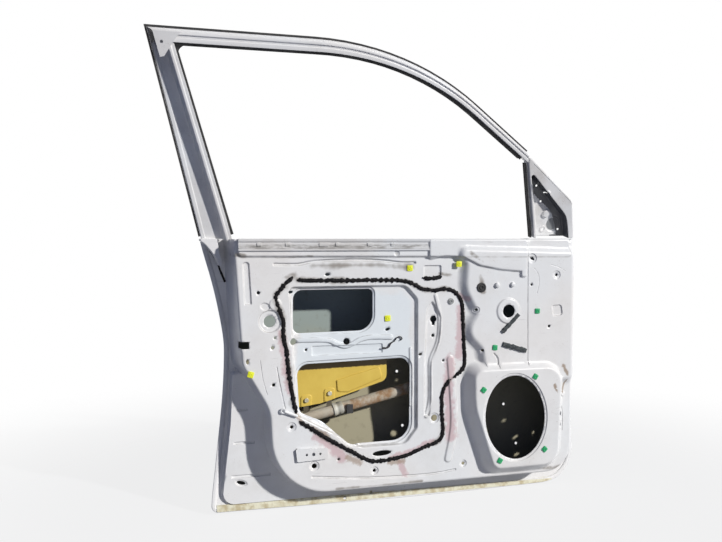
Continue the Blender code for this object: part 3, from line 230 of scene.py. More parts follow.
def moved_in(outline, distance):
    """The outline moved inward by a distance, or outward where it is negative."""
    area = sum(a[0] * b[1] - b[0] * a[1] for a, b in zip(outline, outline[1:] + outline[:1]))
    sign = 1 if area > 0 else -1
    moved = []
    count = len(outline)
    for i, point in enumerate(outline):
        here = Vector(point)
        one = (here - Vector(outline[i - 1])).normalized()
        two = (Vector(outline[(i + 1) % count]) - here).normalized()
        normal = (Vector((-one.y, one.x)) + Vector((-two.y, two.x))) * sign
        middle = normal.normalized()
        lean = max(0.5, middle.dot(Vector((-one.y, one.x)) * sign))
        reach = distance(*point) if callable(distance) else distance
        moved.append(tuple(here + middle * reach / lean))
    return moved


def chain_moved_in(chain, distance):
    """Open chain moved to its left, with its ends kept at their height."""
    moved = []
    last = len(chain) - 1
    for i, point in enumerate(chain):
        here = Vector(point)
        one = (here - Vector(chain[i - 1])).normalized() if i else None
        two = (Vector(chain[i + 1]) - here).normalized() if i < last else None
        one, two = one or two, two or one
        middle = (Vector((-one.y, one.x)) + Vector((-two.y, two.x))).normalized()
        shift = middle * distance / max(0.5, middle.dot(Vector((-one.y, one.x))))
        if i in (0, last):
            shift.y = 0.0
        moved.append(tuple(here + shift))
    return moved


def stroke(route, half):
    """Closed outline of a line drawn with a round pen."""
    path = smooth(route, 3) if len(route) > 2 else list(route)
    left, right = [], []
    for i, point in enumerate(path):
        here = Vector(point)
        run = Vector(path[min(i + 1, len(path) - 1)]) - Vector(path[max(i - 1, 0)])
        side = Vector((-run.y, run.x)).normalized() * half
        left.append(here + side)
        right.append(here - side)

    def cap(centre, start):
        arm = start - centre
        return [centre + Matrix.Rotation(-math.pi * k / 8, 2) @ arm for k in range(1, 8)]

    outline = left + cap(Vector(path[-1]), left[-1]) + right[::-1] + cap(Vector(path[0]), right[0])
    return [tuple(p) for p in outline]


def resampled(outline, gap):
    """Closed outline with no piece longer than a gap."""
    points = []
    for a, b in zip(outline, outline[1:] + outline[:1]):
        a, b = Vector(a), Vector(b)
        pieces = max(1, math.ceil((b - a).length / gap))
        points += [tuple(a.lerp(b, k / pieces)) for k in range(pieces)]
    return points


def depth_inside(points, outline):
    """Signed distance of each point to a closed outline, positive inside."""
    ring = np.array(outline)
    low, high = ring.min(0) - 0.045, ring.max(0) + 0.045
    near = np.all((points > low) & (points < high), axis=1)
    result = np.full(len(points), -1.0)
    p = points[near]
    best = np.full(len(p), 1e9)
    inside = np.zeros(len(p), bool)
    for a, b in zip(ring, np.roll(ring, -1, axis=0)):
        edge = b - a
        t = np.clip(((p - a) @ edge) / max(edge @ edge, 1e-12), 0, 1)
        best = np.minimum(best, np.hypot(*(p - a - t[:, None] * edge).T))
        crosses = (a[1] > p[:, 1]) != (b[1] > p[:, 1])
        rise = edge[1] if abs(edge[1]) > 1e-12 else 1e-12
        inside ^= crosses & (p[:, 0] < (p[:, 1] - a[1]) / rise * edge[0] + a[0])
    result[near] = np.where(inside, best, -best)
    return result


def distance_to_route(points, route):
    """Distance of each point to an open line."""
    best = np.full(len(points), 1e9)
    for a, b in zip(route, route[1:]):
        a, b = np.array(a), np.array(b)
        edge = b - a
        t = np.clip(((points - a) @ edge) / max(edge @ edge, 1e-12), 0, 1)
        best = np.minimum(best, np.hypot(*(points - a - t[:, None] * edge).T))
    return best


def skin_y(z):
    """Outer face of the skin at a height."""
    return CROWN_Y - (z - CROWN_Z) ** 2 / (2 * CROWN_RADIUS)


# Pressed forms

def ramp(d, width, root, shoulder):
    """Rise from 0 to 1 over a width, with a rounded root and shoulder."""
    steep = 1 / (width - (root + shoulder) / 2)
    d = np.clip(d, 0, width)
    low = steep * d ** 2 / (2 * root)
    middle = steep * (d - root / 2)
    high = 1 - steep * (width - d) ** 2 / (2 * shoulder)
    return np.where(d < root, low, np.where(d > width - shoulder, high, middle))


class Form:
    """A raised or sunk area of a pressing. A raised outline is its top edge, a sunk one its rim."""

    def __init__(self, outline, rise, width, root=None, shoulder=None, group="add"):
        self.outline = resampled(outline, 0.012)
        self.rise = rise
        self.width = width
        self.root = root or width * 0.35
        self.shoulder = shoulder or width * 0.35
        self.group = group

    def start(self):
        return -self.width if self.rise > 0 else 0.0

    def share(self, points):
        return ramp(depth_inside(points, self.outline) - self.start(), self.width, self.root,
                    self.shoulder)

    def lines(self):
        w, r, s = self.width, self.root, self.shoulder
        steps = [-0.0012, 0, r / 2, r, w - s, w - s / 2, w]
        if s > 0.003:
            steps += [w - s * 0.75, w - s * 0.25]
        steps = sorted(set(round(v, 6) for v in steps))
        return [moved_in(self.outline, self.start() + v) for v in steps]


def sheet_from_outlines(border, lines, holes, fill, height, marks=()):
    """Sheet over a border, with creases along lines, holes, and a height for each point."""
    points, edges = [], []

    def add_ring(ring):
        first = len(points)
        points.extend(Vector(p) for p in ring)
        edges.extend((first + k, first + (k + 1) % len(ring)) for k in range(len(ring)))

    add_ring(border)
    for ring in list(lines) + list(holes):
        add_ring(ring)
    rim = np.array(border)
    low, high = rim.min(0), rim.max(0)
    for j, z in enumerate(np.arange(low[1], high[1], fill)):
        for x in np.arange(low[0] + (j % 2) * fill / 2, high[0], fill):
            points.append(Vector((float(x), float(z))))
    flat, _, cells, *_ = delaunay_2d_cdt(points, edges, [], 0, 0.00004)
    place = np.array([tuple(v) for v in flat])
    middles = np.array([place[list(c)].mean(0) for c in cells])
    keep = depth_inside(middles, border) > 0
    for ring in holes:
        keep &= depth_inside(middles, ring) < 0
    depth = height(place)
    bm = bmesh.new()
    for mark, _ in marks:
        bm.verts.layers.float.new(mark)
    verts = [bm.verts.new((x, y, z)) for (x, z), y in zip(place, depth)]
    for mark, values in marks:
        layer = bm.verts.layers.float[mark]
        for vert, value in zip(verts, values(place)):
            vert[layer] = float(value)
    for cell, wanted in zip(cells, keep):
        if wanted:
            bm.faces.new([verts[i] for i in cell])
    bmesh.ops.delete(bm, geom=[v for v in bm.verts if not v.link_faces], context="VERTS")
    bmesh.ops.recalc_face_normals(bm, faces=bm.faces)
    if sum(f.normal.y * f.calc_area() for f in bm.faces) > 0:
        bmesh.ops.reverse_faces(bm, faces=bm.faces)
    return bm


# Pieces

def piece(name, bm, finish, replaces=(), place=None, crease=35):
    """Object of a bmesh: its finish, its body, and the CAD nodes that it stands for."""
    mesh = bpy.data.meshes.new(name)
    bm.to_mesh(mesh)
    bm.free()
    if place:
        mesh.transform(place)
    obj = bpy.data.objects.new(name, mesh)
    bpy.context.scene.collection.objects.link(obj)
    mesh.materials.append(finish)
    mesh.shade_smooth()
    mesh.set_sharp_from_angle(angle=math.radians(crease))
    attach(obj, "root")
    if replaces:
        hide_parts(*replaces)
    return obj


def walled(obj, thickness, back=None):
    """Sheet thickness behind the face, with a finish of its own for the back."""
    wall = obj.modifiers.new("Sheet", "SOLIDIFY")
    if back:
        obj.data.materials.append(back)
        wall.material_offset = 1
    wall.thickness = thickness
    wall.offset = -1.0
    wall.use_even_offset = False


def eased(obj, width=None, segments=2):
    """Small round on every sharp edge."""
    ease = obj.modifiers.new("Edge", "BEVEL")
    ease.width = width or settings().edge_radius
    ease.segments = segments
    ease.limit_method = "ANGLE"
    ease.angle_limit = math.radians(30)
    ease.harden_normals = False


def extruded_ring(bm, stations, closed=True, capped=True):
    """Skin through stations that each hold equally many points, by repeated extrusion."""
    ring = [bm.verts.new(p) for p in stations[0]]
    count = len(ring)
    pairs = [(k, (k + 1) % count) for k in range(count if closed else count - 1)]
    edges = [bm.edges.new((ring[a], ring[b])) for a, b in pairs]
    first = list(edges)
    for station in stations[1:]:
        out = bmesh.ops.extrude_edge_only(bm, edges=edges)["geom"]
        fresh = {tuple(round(c, 7) for c in v.co): v for v in out if isinstance(v, bmesh.types.BMVert)}
        ring = [fresh[tuple(round(c, 7) for c in v.co)] for v in ring]
        for vert, point in zip(ring, station):
            vert.co = point
        edges = [bm.edges.get((ring[a], ring[b])) for a, b in pairs]
    if closed and capped:
        for loop in (first, edges):
            bmesh.ops.holes_fill(bm, edges=loop, sides=0)
    bmesh.ops.recalc_face_normals(bm, faces=bm.faces)
    return bm


def path_stations(path, section, start_arm, end_arm):
    """Stations of a section (across, depth) along a flat path, mitred at its bends."""
    stations = []
    last = len(path) - 1
    for i, point in enumerate(path):
        here = Vector(point)
        if i == 0:
            arm = Vector(start_arm)
        elif i == last:
            arm = Vector(end_arm)
        else:
            one = (here - Vector(path[i - 1])).normalized()
            two = (Vector(path[i + 1]) - here).normalized()
            middle = (Vector((one.y, -one.x)) + Vector((two.y, -two.x))).normalized()
            arm = middle / middle.dot(Vector((one.y, -one.x)))
        stations.append([(here.x + arm.x * a, depth, here.y + arm.y * a) for a, depth in section(i / last)])
    return stations


def thickened(bm, thickness):
    """The sheet's faces drawn out along Y into a solid."""
    out = bmesh.ops.extrude_face_region(bm, geom=bm.faces[:])["geom"]
    bmesh.ops.translate(bm, vec=(0, thickness, 0),
                        verts=[v for v in out if isinstance(v, bmesh.types.BMVert)])
    bmesh.ops.recalc_face_normals(bm, faces=bm.faces)
    return bm


def drawn_out(outline, y_low, y_high):
    """Solid of an outline in X and Z drawn out along Y."""
    bm = bmesh.new()
    bm.faces.new([bm.verts.new((x, y_low, z)) for x, z in outline])
    return thickened(bm, y_high - y_low)


def with_holes(outline, holes, y_low, y_high):
    """Flat plate with holes, of an outline in X and Z."""
    bm = sheet_from_outlines(outline, [], holes, 10.0, lambda p: np.full(len(p), y_low))
    bmesh.ops.dissolve_limit(bm, angle_limit=0.01, verts=bm.verts, edges=bm.edges)
    return thickened(bm, y_high - y_low)


def joined(parts):
    """One bmesh of several."""
    whole = bmesh.new()
    for part in parts:
        mesh = bpy.data.meshes.new("part")
        part.to_mesh(mesh)
        part.free()
        whole.from_mesh(mesh)
        bpy.data.meshes.remove(mesh)
    return whole


# Shader groups

def feed(tree, entry, value):
    """Links a socket to an input, or fills the input with a value."""
    if isinstance(value, bpy.types.NodeSocket):
        tree.links.new(value, entry)
    else:
        entry.default_value = value


def wired(tree, kind, inputs=None, **values):
    """Node with its values set and its inputs linked or filled."""
    made = tree.nodes.new(kind)
    for key, value in values.items():
        setattr(made, key, value)
    for key, value in (inputs or {}).items():
        feed(tree, made.inputs[key], value)
    return made


def group_of(name, inputs, outputs, build):
    """Shader group, made once."""
    found = bpy.data.node_groups.get(name)
    if found:
        return found
    tree = bpy.data.node_groups.new(name, "ShaderNodeTree")
    for title, kind, value in inputs:
        made = tree.interface.new_socket(title, in_out="INPUT", socket_type=kind)
        if value is not None:
            made.default_value = value
    for title, kind in outputs:
        tree.interface.new_socket(title, in_out="OUTPUT", socket_type=kind)
    entry = tree.nodes.new("NodeGroupInput")
    leave = tree.nodes.new("NodeGroupOutput")
    build(tree, entry.outputs, leave.inputs)
    return tree


def noise_value(tree, vector, scale, detail=3.0, rough=0.5):
    """Noise from 0 to 1."""
    return wired(tree, "ShaderNodeTexNoise", {"Vector": vector, "Scale": scale, "Detail": detail,
                                              "Roughness": rough}).outputs["Fac"]


def spread(tree, value, low, high, out_low=0.0, out_high=1.0):
    """A range of a value turned smoothly into another range."""
    made = wired(tree, "ShaderNodeMapRange", {"Value": value, "From Min": low, "From Max": high,
                                              "To Min": out_low, "To Max": out_high})
    made.interpolation_type = "SMOOTHSTEP"
    return made.outputs["Result"]


def maths(tree, operation, a, b):
    """Sum, product or other operation on two values."""
    return wired(tree, "ShaderNodeMath", {0: a, 1: b}, operation=operation).outputs[0]


def mixed(tree, share, a, b):
    """Colour between a and b, at b where the share is 1."""
    made = wired(tree, "ShaderNodeMix", data_type="RGBA")
    for key, value in ((0, share), (6, a), (7, b)):
        feed(tree, made.inputs[key], (*value, 1.0) if isinstance(value, tuple) else value)
    return made.outputs[2]


def dust_group():
    """Blotches and fine specks of dust."""
    def build(tree, given, out):
        vector = given["Vector"]
        blotch = spread(tree, noise_value(tree, vector, 9.0, 5.0, 0.62), 0.42, 0.72)
        fine = spread(tree, noise_value(tree, vector, 420.0, 2.0, 0.5), 0.60, 0.74)
        patch = spread(tree, noise_value(tree, vector, 38.0, 3.0, 0.6), 0.48, 0.66)
        tree.links.new(maths(tree, "MULTIPLY", blotch, given["Amount"]), out["Blotch"])
        speck = maths(tree, "MULTIPLY", fine, patch)
        tree.links.new(maths(tree, "MULTIPLY", speck, given["Amount"]), out["Speck"])
    return group_of("Dust", [("Vector", "NodeSocketVector", None), ("Amount", "NodeSocketFloat", 1.0)],
                    [("Blotch", "NodeSocketFloat"), ("Speck", "NodeSocketFloat")], build)


def grain_group():
    """Fine height grain."""
    def build(tree, given, out):
        coarse = noise_value(tree, given["Vector"], given["Scale"], 4.0, 0.6)
        tree.links.new(coarse, out["Height"])
    return group_of("Grain", [("Vector", "NodeSocketVector", None), ("Scale", "NodeSocketFloat", 300.0)],
                    [("Height", "NodeSocketFloat")], build)


def scuff_group():
    """Thin scuffs and scratches in two directions."""
    def build(tree, given, out):
        marks = []
        for turn, scale in ((0.5, 14.0), (-0.9, 10.0)):
            lay = wired(tree, "ShaderNodeMapping", {"Vector": given["Vector"],
                                                    "Rotation": (0.0, turn, 0.0),
                                                    "Scale": (1.0, 1.0, 22.0)})
            marks.append(spread(tree, noise_value(tree, lay.outputs[0], scale, 2.0, 0.5), 0.70, 0.74))
        both = maths(tree, "MAXIMUM", marks[0], marks[1])
        where = spread(tree, noise_value(tree, given["Vector"], 12.0, 2.0), 0.50, 0.62)
        tree.links.new(maths(tree, "MULTIPLY", both, where), out["Mask"])
    return group_of("Scuffs", [("Vector", "NodeSocketVector", None)], [("Mask", "NodeSocketFloat")], build)


def new_material(name):
    """Material with its node tree, its shader and the object's coordinates."""
    made = bpy.data.materials.new(name)
    made.use_nodes = True
    tree = made.node_tree
    shader = tree.nodes["Principled BSDF"]
    place = tree.nodes.new("ShaderNodeTexCoord").outputs["Object"]
    return made, tree, shader, place


def placed(tree, group, **inputs):
    """Outputs of a shader group put into a tree."""
    return wired(tree, "ShaderNodeGroup", inputs, node_tree=group).outputs


def attribute(tree, name):
    """Value of a mark on the mesh."""
    return wired(tree, "ShaderNodeAttribute", attribute_name=name).outputs["Fac"]


def bump(tree, shader, height, strength, distance):
    """Small relief in the shading."""
    made = wired(tree, "ShaderNodeBump", {"Height": height, "Strength": strength, "Distance": distance})
    tree.links.new(made.outputs["Normal"], shader.inputs["Normal"])


def paint(name="Body paint", stained_and_shaded=False, dirt=1.0, dull=1.0, band=None):
    """Gloss white body paint, dulled by dust; with marks on, it reads the panel's marks: stains, dirt and
    painted shade.
    """
    found = bpy.data.materials.get(name)
    if found:
        return found
    made, tree, shader, place = new_material(name)
    chosen = settings()
    dust = placed(tree, dust_group(), Vector=place, Amount=dirt)
    scuffs = placed(tree, scuff_group(), Vector=place)["Mask"]
    base = tuple(c * dull for c in chosen.paint_colour)
    tint = mixed(tree, spread(tree, noise_value(tree, place, 3.2, 2.0), 0.35, 0.65), base,
                 tuple(c * f for c, f in zip(base, (1.02, 0.99, 0.965))))
    tint = mixed(tree, maths(tree, "MULTIPLY", dust["Blotch"], 0.34), tint, HAZE)
    tint = mixed(tree, maths(tree, "MULTIPLY", dust["Speck"], 0.55), tint, SPECKS)
    tint = mixed(tree, maths(tree, "MULTIPLY", scuffs, 0.35), tint, SCUFFS)
    rough = spread(tree, dust["Blotch"], 0.0, 1.0, 0.32, 0.55)
    if band:
        height = wired(tree, "ShaderNodeSeparateXYZ", {0: place}).outputs["Z"]
        across = maths(tree, "MULTIPLY", spread(tree, height, band[0] - 0.003, band[0]),
                       spread(tree, height, band[1], band[1] + 0.002, 1.0, 0.0))
        drawn = wired(tree, "ShaderNodeVectorMath", {0: place, 1: (0.35, 1.0, 2.2)},
                      operation="MULTIPLY").outputs["Vector"]
        streak = spread(tree, noise_value(tree, drawn, 70.0, 5.0, 0.7), 0.40, 0.62, 0.15, 0.85)
        tint = mixed(tree, maths(tree, "MULTIPLY", across, streak), tint, BELT_STREAK)
    if stained_and_shaded:
        ragged = noise_value(tree, place, 70.0, 5.0, 0.7)
        wide = noise_value(tree, place, 16.0, 3.0, 0.6)
        # Mark colours: the bluish tint paints shade in the sunk field, the grey paints shade on the sail's
        # disc, the black paints the shadow in the sail's crescent and colours a black patch on its foot, the
        # dark brown paints dirt together with shade along the belt and in corners, and stains, drips, rust
        # and sealer are real
        for mark, shade, edge, strength in (
                ("field_shade", (0.76, 0.83, 0.88), wide, 0.70),
                ("grey", (0.20, 0.21, 0.22), wide, 0.95),
                ("black", (0.020, 0.022, 0.034), wide, 0.96),
                ("stain", tuple(chosen.stain_colour), ragged, 0.62),
                ("brown", (0.34, 0.24, 0.17), ragged, 0.70),
                ("grime_and_shade", tuple(chosen.grime_and_shade_colour), wide, 0.75),
                ("rust", (0.22, 0.13, 0.055), ragged, 0.75),
                ("sealer", (0.58, 0.53, 0.36), wide, 0.55)):
            mask = spread(tree, maths(tree, "ADD", attribute(tree, mark),
                                      maths(tree, "SUBTRACT", maths(tree, "MULTIPLY", edge, 1.3), 0.65)),
                          0.35, 0.80)
            tint = mixed(tree, maths(tree, "MULTIPLY", mask, strength), tint, shade)
        # Painted shade on the walls of the narrow folds, broken up by noise
        patchy = maths(tree, "MULTIPLY", attribute(tree, "fold"),
                     spread(tree, noise_value(tree, place, 45.0, 3.0), 0.30, 0.70, 0.10, 0.50))
        tint = mixed(tree, patchy, tint, FOLD_SHADE)
    tree.links.new(tint, shader.inputs["Base Color"])
    tree.links.new(rough, shader.inputs["Roughness"])
    shader.inputs["Coat Weight"].default_value = 0.15
    shader.inputs["Coat Roughness"].default_value = 0.25
    waves = noise_value(tree, place, 26.0, 2.0)
    peel = noise_value(tree, place, 500.0, 1.0)
    height = maths(tree, "ADD", waves, maths(tree, "MULTIPLY", peel, 0.03))
    bump(tree, shader, height, 0.35, 0.0012)
    return made


def plain(name, shade, second, rough, metallic=0.0, scale=60.0, grain=300.0, depth=0.0004, dirt=0.6,
          shine=0.5):
    """Finish of one colour that turns to a second in blotches, with dust and grain."""
    found = bpy.data.materials.get(name)
    if found:
        return found
    made, tree, shader, place = new_material(name)
    dust = placed(tree, dust_group(), Vector=place, Amount=dirt)
    tint = mixed(tree, spread(tree, noise_value(tree, place, scale, 4.0, 0.6), 0.40, 0.66), shade, second)
    tint = mixed(tree, maths(tree, "MULTIPLY", dust["Speck"], 0.5), tint, (0.36, 0.32, 0.28))
    tree.links.new(tint, shader.inputs["Base Color"])
    patchy = spread(tree, noise_value(tree, place, scale * 0.6, 3.0), 0.3, 0.7, rough - 0.08, rough + 0.12)
    tree.links.new(patchy, shader.inputs["Roughness"])
    shader.inputs["Metallic"].default_value = metallic
    shader.inputs["Specular IOR Level"].default_value = shine
    height = placed(tree, grain_group(), Vector=place, Scale=grain)["Height"]
    bump(tree, shader, height, 0.5, depth)
    return made


def rubber():
    return plain("Rubber", (0.012, 0.012, 0.014), (0.030, 0.029, 0.030), 0.68, scale=40.0, grain=900.0)


def butyl():
    return plain("Butyl", (0.004, 0.004, 0.005), (0.014, 0.012, 0.014), 0.66, scale=180.0, grain=260.0,
                 depth=0.0012, dirt=0.3, shine=0.12)


def black_paint():
    return plain("Black paint", (0.016, 0.016, 0.019), (0.040, 0.039, 0.040), 0.42, scale=70.0)


def grey_primer():
    return plain("Grey primer", (0.40, 0.42, 0.43), (0.31, 0.31, 0.30), 0.55, scale=30.0)


def cavity_primer():
    """Primer inside the door: grey green above, beige with wax below."""
    found = bpy.data.materials.get("Cavity primer")
    if found:
        return found
    made, tree, shader, place = new_material("Cavity primer")
    height = wired(tree, "ShaderNodeSeparateXYZ", {0: place}).outputs["Z"]
    cloud = noise_value(tree, place, 9.0, 4.0, 0.6)
    low = maths(tree, "SUBTRACT", maths(tree, "MULTIPLY", cloud, 0.10), height)
    tint = mixed(tree, spread(tree, low, 0.12, 0.20), (0.36, 0.42, 0.40), (0.41, 0.38, 0.27))
    spots = spread(tree, noise_value(tree, place, 60.0, 4.0), 0.55, 0.75, 0.0, 0.3)
    tint = mixed(tree, spots, tint, (0.20, 0.18, 0.13))
    tree.links.new(tint, shader.inputs["Base Color"])
    tree.links.new(spread(tree, cloud, 0.3, 0.7, 0.5, 0.75), shader.inputs["Roughness"])
    shader.inputs["Specular IOR Level"].default_value = 0.15
    bump(tree, shader, cloud, 0.3, 0.002)
    return made


# Near-black back of the inner panel, as painted shade that keeps the inside of the door dark
def cavity_painted_shade():
    return plain("Cavity primer in painted shade", (0.045, 0.050, 0.062), (0.030, 0.030, 0.034), 0.8, scale=12.0,
                 dirt=0.2)


def sleeve_coat():
    return plain("Sleeve coat", (0.60, 0.59, 0.52), (0.44, 0.41, 0.33), 0.58, scale=70.0)


# Dark brown straps of the yellow plate, as painted shade where they lie in shadow
def strap_painted_shade():
    return plain("Strap primer in painted shade", (0.10, 0.085, 0.050), (0.060, 0.050, 0.035), 0.6, scale=40.0, dirt=0.3)


def foam():
    return plain("Foam", (0.040, 0.048, 0.052), (0.10, 0.11, 0.115), 0.92, scale=150.0, grain=700.0,
                 depth=0.0012)


def zinc():
    return plain("Zinc", (0.56, 0.55, 0.48), (0.42, 0.38, 0.27), 0.42, metallic=0.6, scale=90.0)


def yellow_sheet():
    """Yellow passivated sheet, with painted shadow along its upper edge."""
    found = bpy.data.materials.get("Yellow passivated sheet")
    if found:
        return found
    made, tree, shader, place = new_material("Yellow passivated sheet")
    chosen = tuple(settings().plate_colour)
    cloud = noise_value(tree, place, 16.0, 3.0, 0.6)
    tint = mixed(tree, spread(tree, cloud, 0.35, 0.65), chosen,
                 tuple(c * f for c, f in zip(chosen, (0.93, 0.90, 0.80))))
    # Painted shadow of the opening's top edge: dark brown above a slanted, ragged line across the upper strip
    split = wired(tree, "ShaderNodeSeparateXYZ", {0: place})
    edge = maths(tree, "SUBTRACT", split.outputs["Z"], maths(tree, "MULTIPLY", split.outputs["X"], 0.02))
    edge = maths(tree, "ADD", edge, maths(tree, "MULTIPLY", noise_value(tree, place, 240.0, 3.0, 0.7), 0.006))
    tint = mixed(tree, spread(tree, edge, -0.150, -0.1475, 0.0, 0.93), tint, PLATE_TOP_SHADOW)
    tree.links.new(tint, shader.inputs["Base Color"])
    tree.links.new(spread(tree, cloud, 0.3, 0.7, 0.40, 0.55), shader.inputs["Roughness"])
    height = placed(tree, grain_group(), Vector=place, Scale=300.0)["Height"]
    bump(tree, shader, height, 0.5, 0.0003)
    return made


def sealer():
    return plain("Sealer", (0.76, 0.74, 0.58), (0.50, 0.43, 0.27), 0.60, scale=42.0, grain=120.0,
                 depth=0.0018, dirt=1.4)


def rusty_steel():
    """Grey tube primer under patches of rust."""
    found = bpy.data.materials.get("Rusty steel")
    if found:
        return found
    made, tree, shader, place = new_material("Rusty steel")
    cloud = spread(tree, noise_value(tree, place, 28.0, 6.0, 0.7), 0.36, 0.60)
    fine = noise_value(tree, place, 160.0, 4.0, 0.7)
    rust = mixed(tree, fine, (0.23, 0.12, 0.055), (0.46, 0.30, 0.17))
    along = wired(tree, "ShaderNodeSeparateXYZ", {0: place}).outputs["X"]
    along = maths(tree, "ADD", along, maths(tree, "MULTIPLY", fine, 0.03))
    share = maths(tree, "MULTIPLY", cloud, spread(tree, along, -0.645, -0.615, 0.22, 1.0))
    tint = mixed(tree, share, (0.50, 0.46, 0.37), rust)
    tree.links.new(tint, shader.inputs["Base Color"])
    tree.links.new(spread(tree, share, 0.0, 1.0, 0.5, 0.88), shader.inputs["Roughness"])
    bump(tree, shader, fine, 0.6, 0.0008)
    return made


def clip_plastic(name, shade):
    """Moulded plastic with a little dust."""
    found = bpy.data.materials.get(name)
    if found:
        return found
    made, tree, shader, place = new_material(name)
    dust = placed(tree, dust_group(), Vector=place, Amount=0.5)
    tint = mixed(tree, maths(tree, "MULTIPLY", dust["Speck"], 0.4), shade, (0.5, 0.48, 0.42))
    tree.links.new(tint, shader.inputs["Base Color"])
    rough = spread(tree, noise_value(tree, place, 200.0, 2.0), 0.3, 0.7, 0.38, 0.55)
    tree.links.new(rough, shader.inputs["Roughness"])
    shader.inputs["Subsurface Weight"].default_value = 0.05
    shader.inputs["Subsurface Radius"].default_value = (0.002, 0.002, 0.001)
    return made


# Outlines of the door

REAR_EDGE = [(-0.962, 0.200), (-0.951, 0.140), (-0.921, 0.032), (-0.900, -0.075),
             (-0.897, -0.140), (-0.903, -0.240), (-0.917, -0.360), (-0.930, -0.462)]


def door_edge(top=BELT_Z, step=OUTLINE_STEP):
    """Edge of the outer skin, from the belt at the rear, round the sill, to the belt in front."""
    rear = smooth(REAR_EDGE, 6)
    toe = rounded([(-0.930, -0.462, 0.001), (-0.934, SILL_Z, 0.016), (-0.80, SILL_Z + 0.002, 0.001)],
                  8)[9:18]
    sill = smooth([(-0.870, SILL_Z), (-0.430, SILL_Z - 0.005), (-0.110, SILL_Z - 0.002)], 8)
    front = rounded([(-0.200, SILL_Z - 0.002, 0.001), (0.050, SILL_Z, 0.095), (0.050, 0.0, 0.001)],
                    14)[15:30]
    line = rear + toe + sill + front + [(0.050, 0.200)]
    cut = []
    for a, b in zip(line, line[1:]):
        if a[1] > top and b[1] <= top or a[1] <= top < b[1]:
            t = (top - a[1]) / (b[1] - a[1])
            cut.append((a[0] + (b[0] - a[0]) * t, top))
        if b[1] <= top:
            cut.append(b)
    even = [cut[0]]
    for a, b in zip(cut, cut[1:]):
        run = Vector(b) - Vector(a)
        pieces = max(1, math.ceil(run.length / step))
        if run.length > 0.0002:
            even += [tuple(Vector(a) + run * k / pieces) for k in range(1, pieces + 1)]
    return even


def pan_outline():
    """Foot of the shoulder round the drawn pan."""
    return rounded([(-0.889, 0.200, 0.008), (-0.866, -0.142, 0.040), (-0.802, -0.252, 0.100),
                    (-0.792, -0.458, 0.140), (0.0, -0.458, 0.072), (0.0, 0.200, 0.008)], 12)


SHELF = [(-0.880, -0.170, 0.010), (-0.886, -0.290, 0.30), (-0.908, -0.486, 0.028),
         (-0.640, -0.486, 0.005), (-0.640, -0.430, 0.005), (-0.780, -0.300, 0.05),
         (-0.845, -0.170, 0.010)]
FIELD = [(-0.757, 0.041, 0.014), (-0.462, 0.041, 0.030), (-0.430, 0.006, 0.020),
         (-0.430, -0.318, 0.020), (-0.462, -0.358, 0.030), (-0.578, -0.358, 0.030),
         (-0.741, -0.268, 0.018)]
UPPER_OPENING = rounded([(-0.744, 0.031, 0.022), (-0.546, 0.031, 0.012),
                         (-0.546, -0.070, 0.038), (-0.744, -0.072, 0.015)], 8)
LOWER_OPENING = rounded([(-0.736, -0.147, 0.028), (-0.450, -0.141, 0.026), (-0.450, -0.346, 0.045),
                         (-0.606, -0.347, 0.030), (-0.674, -0.287, 0.030), (-0.729, -0.262, 0.018)], 8)
SPEAKER = oval(-0.178, -0.300, 0.083, 0.107, math.radians(6.0), 64)
FRONT_ZONE = [(-0.322, 0.121, 0.006), (-0.298, 0.092, 0.020),
              (-0.302, 0.030, 0.060), (-0.268, -0.034, 0.026), (-0.297, -0.080, 0.030),
              (-0.258, -0.118, 0.028), (-0.240, -0.205, 0.030), (-0.013, -0.205, 0.008),
              (-0.013, 0.113, 0.008)]
UPPER_FRONT_BAND = [(-0.402, 0.170, 0.004), (-0.402, 0.106, 0.004), (-0.367, 0.114, 0.030),
                    (-0.318, 0.112, 0.030), (-0.272, 0.090, 0.030), (-0.215, 0.079, 0.040),
                    (-0.156, 0.074, 0.004),
                    (-0.156, 0.060, 0.002), (-0.148, 0.060, 0.002), (-0.146, 0.100, 0.020),
                    (-0.135, 0.170, 0.004)]
SPEAKER_BOSS = [(-0.286, -0.180, 0.020), (-0.284, -0.270, 0.150), (-0.232, -0.424, 0.022),
                (-0.060, -0.424, 0.040), (-0.050, -0.180, 0.040)]
BELT_BAND = [(-0.872, 0.184, 0.008), (-0.872, 0.115, 0.006), (-0.016, 0.110, 0.008), (-0.016, 0.184, 0.008)]
VALLEY = [(-0.394, 0.004, 0.006), (-0.366, -0.040, 0.020), (-0.372, -0.105, 0.040),
          (-0.394, -0.160, 0.040), (-0.394, -0.262, 0.030), (-0.398, -0.292, 0.006),
          (-0.416, -0.292, 0.006), (-0.416, -0.160, 0.040), (-0.410, -0.020, 0.020)]
BELT_TABS = [(-0.827, 0.010), (-0.759, 0.012), (-0.672, 0.024), (-0.640, 0.008), (-0.558, 0.014),
             (-0.500, 0.010), (-0.376, 0.008), (-0.336, 0.020), (-0.295, 0.020), (-0.254, 0.020),
             (-0.213, 0.020), (-0.176, 0.010)]
BEAD_REAR = [(-0.746, 0.064), (-0.772, 0.038), (-0.787, 0.016), (-0.779, -0.012), (-0.769, -0.044),
             (-0.769, -0.075), (-0.762, -0.110), (-0.757, -0.160), (-0.748, -0.215), (-0.739, -0.262)]
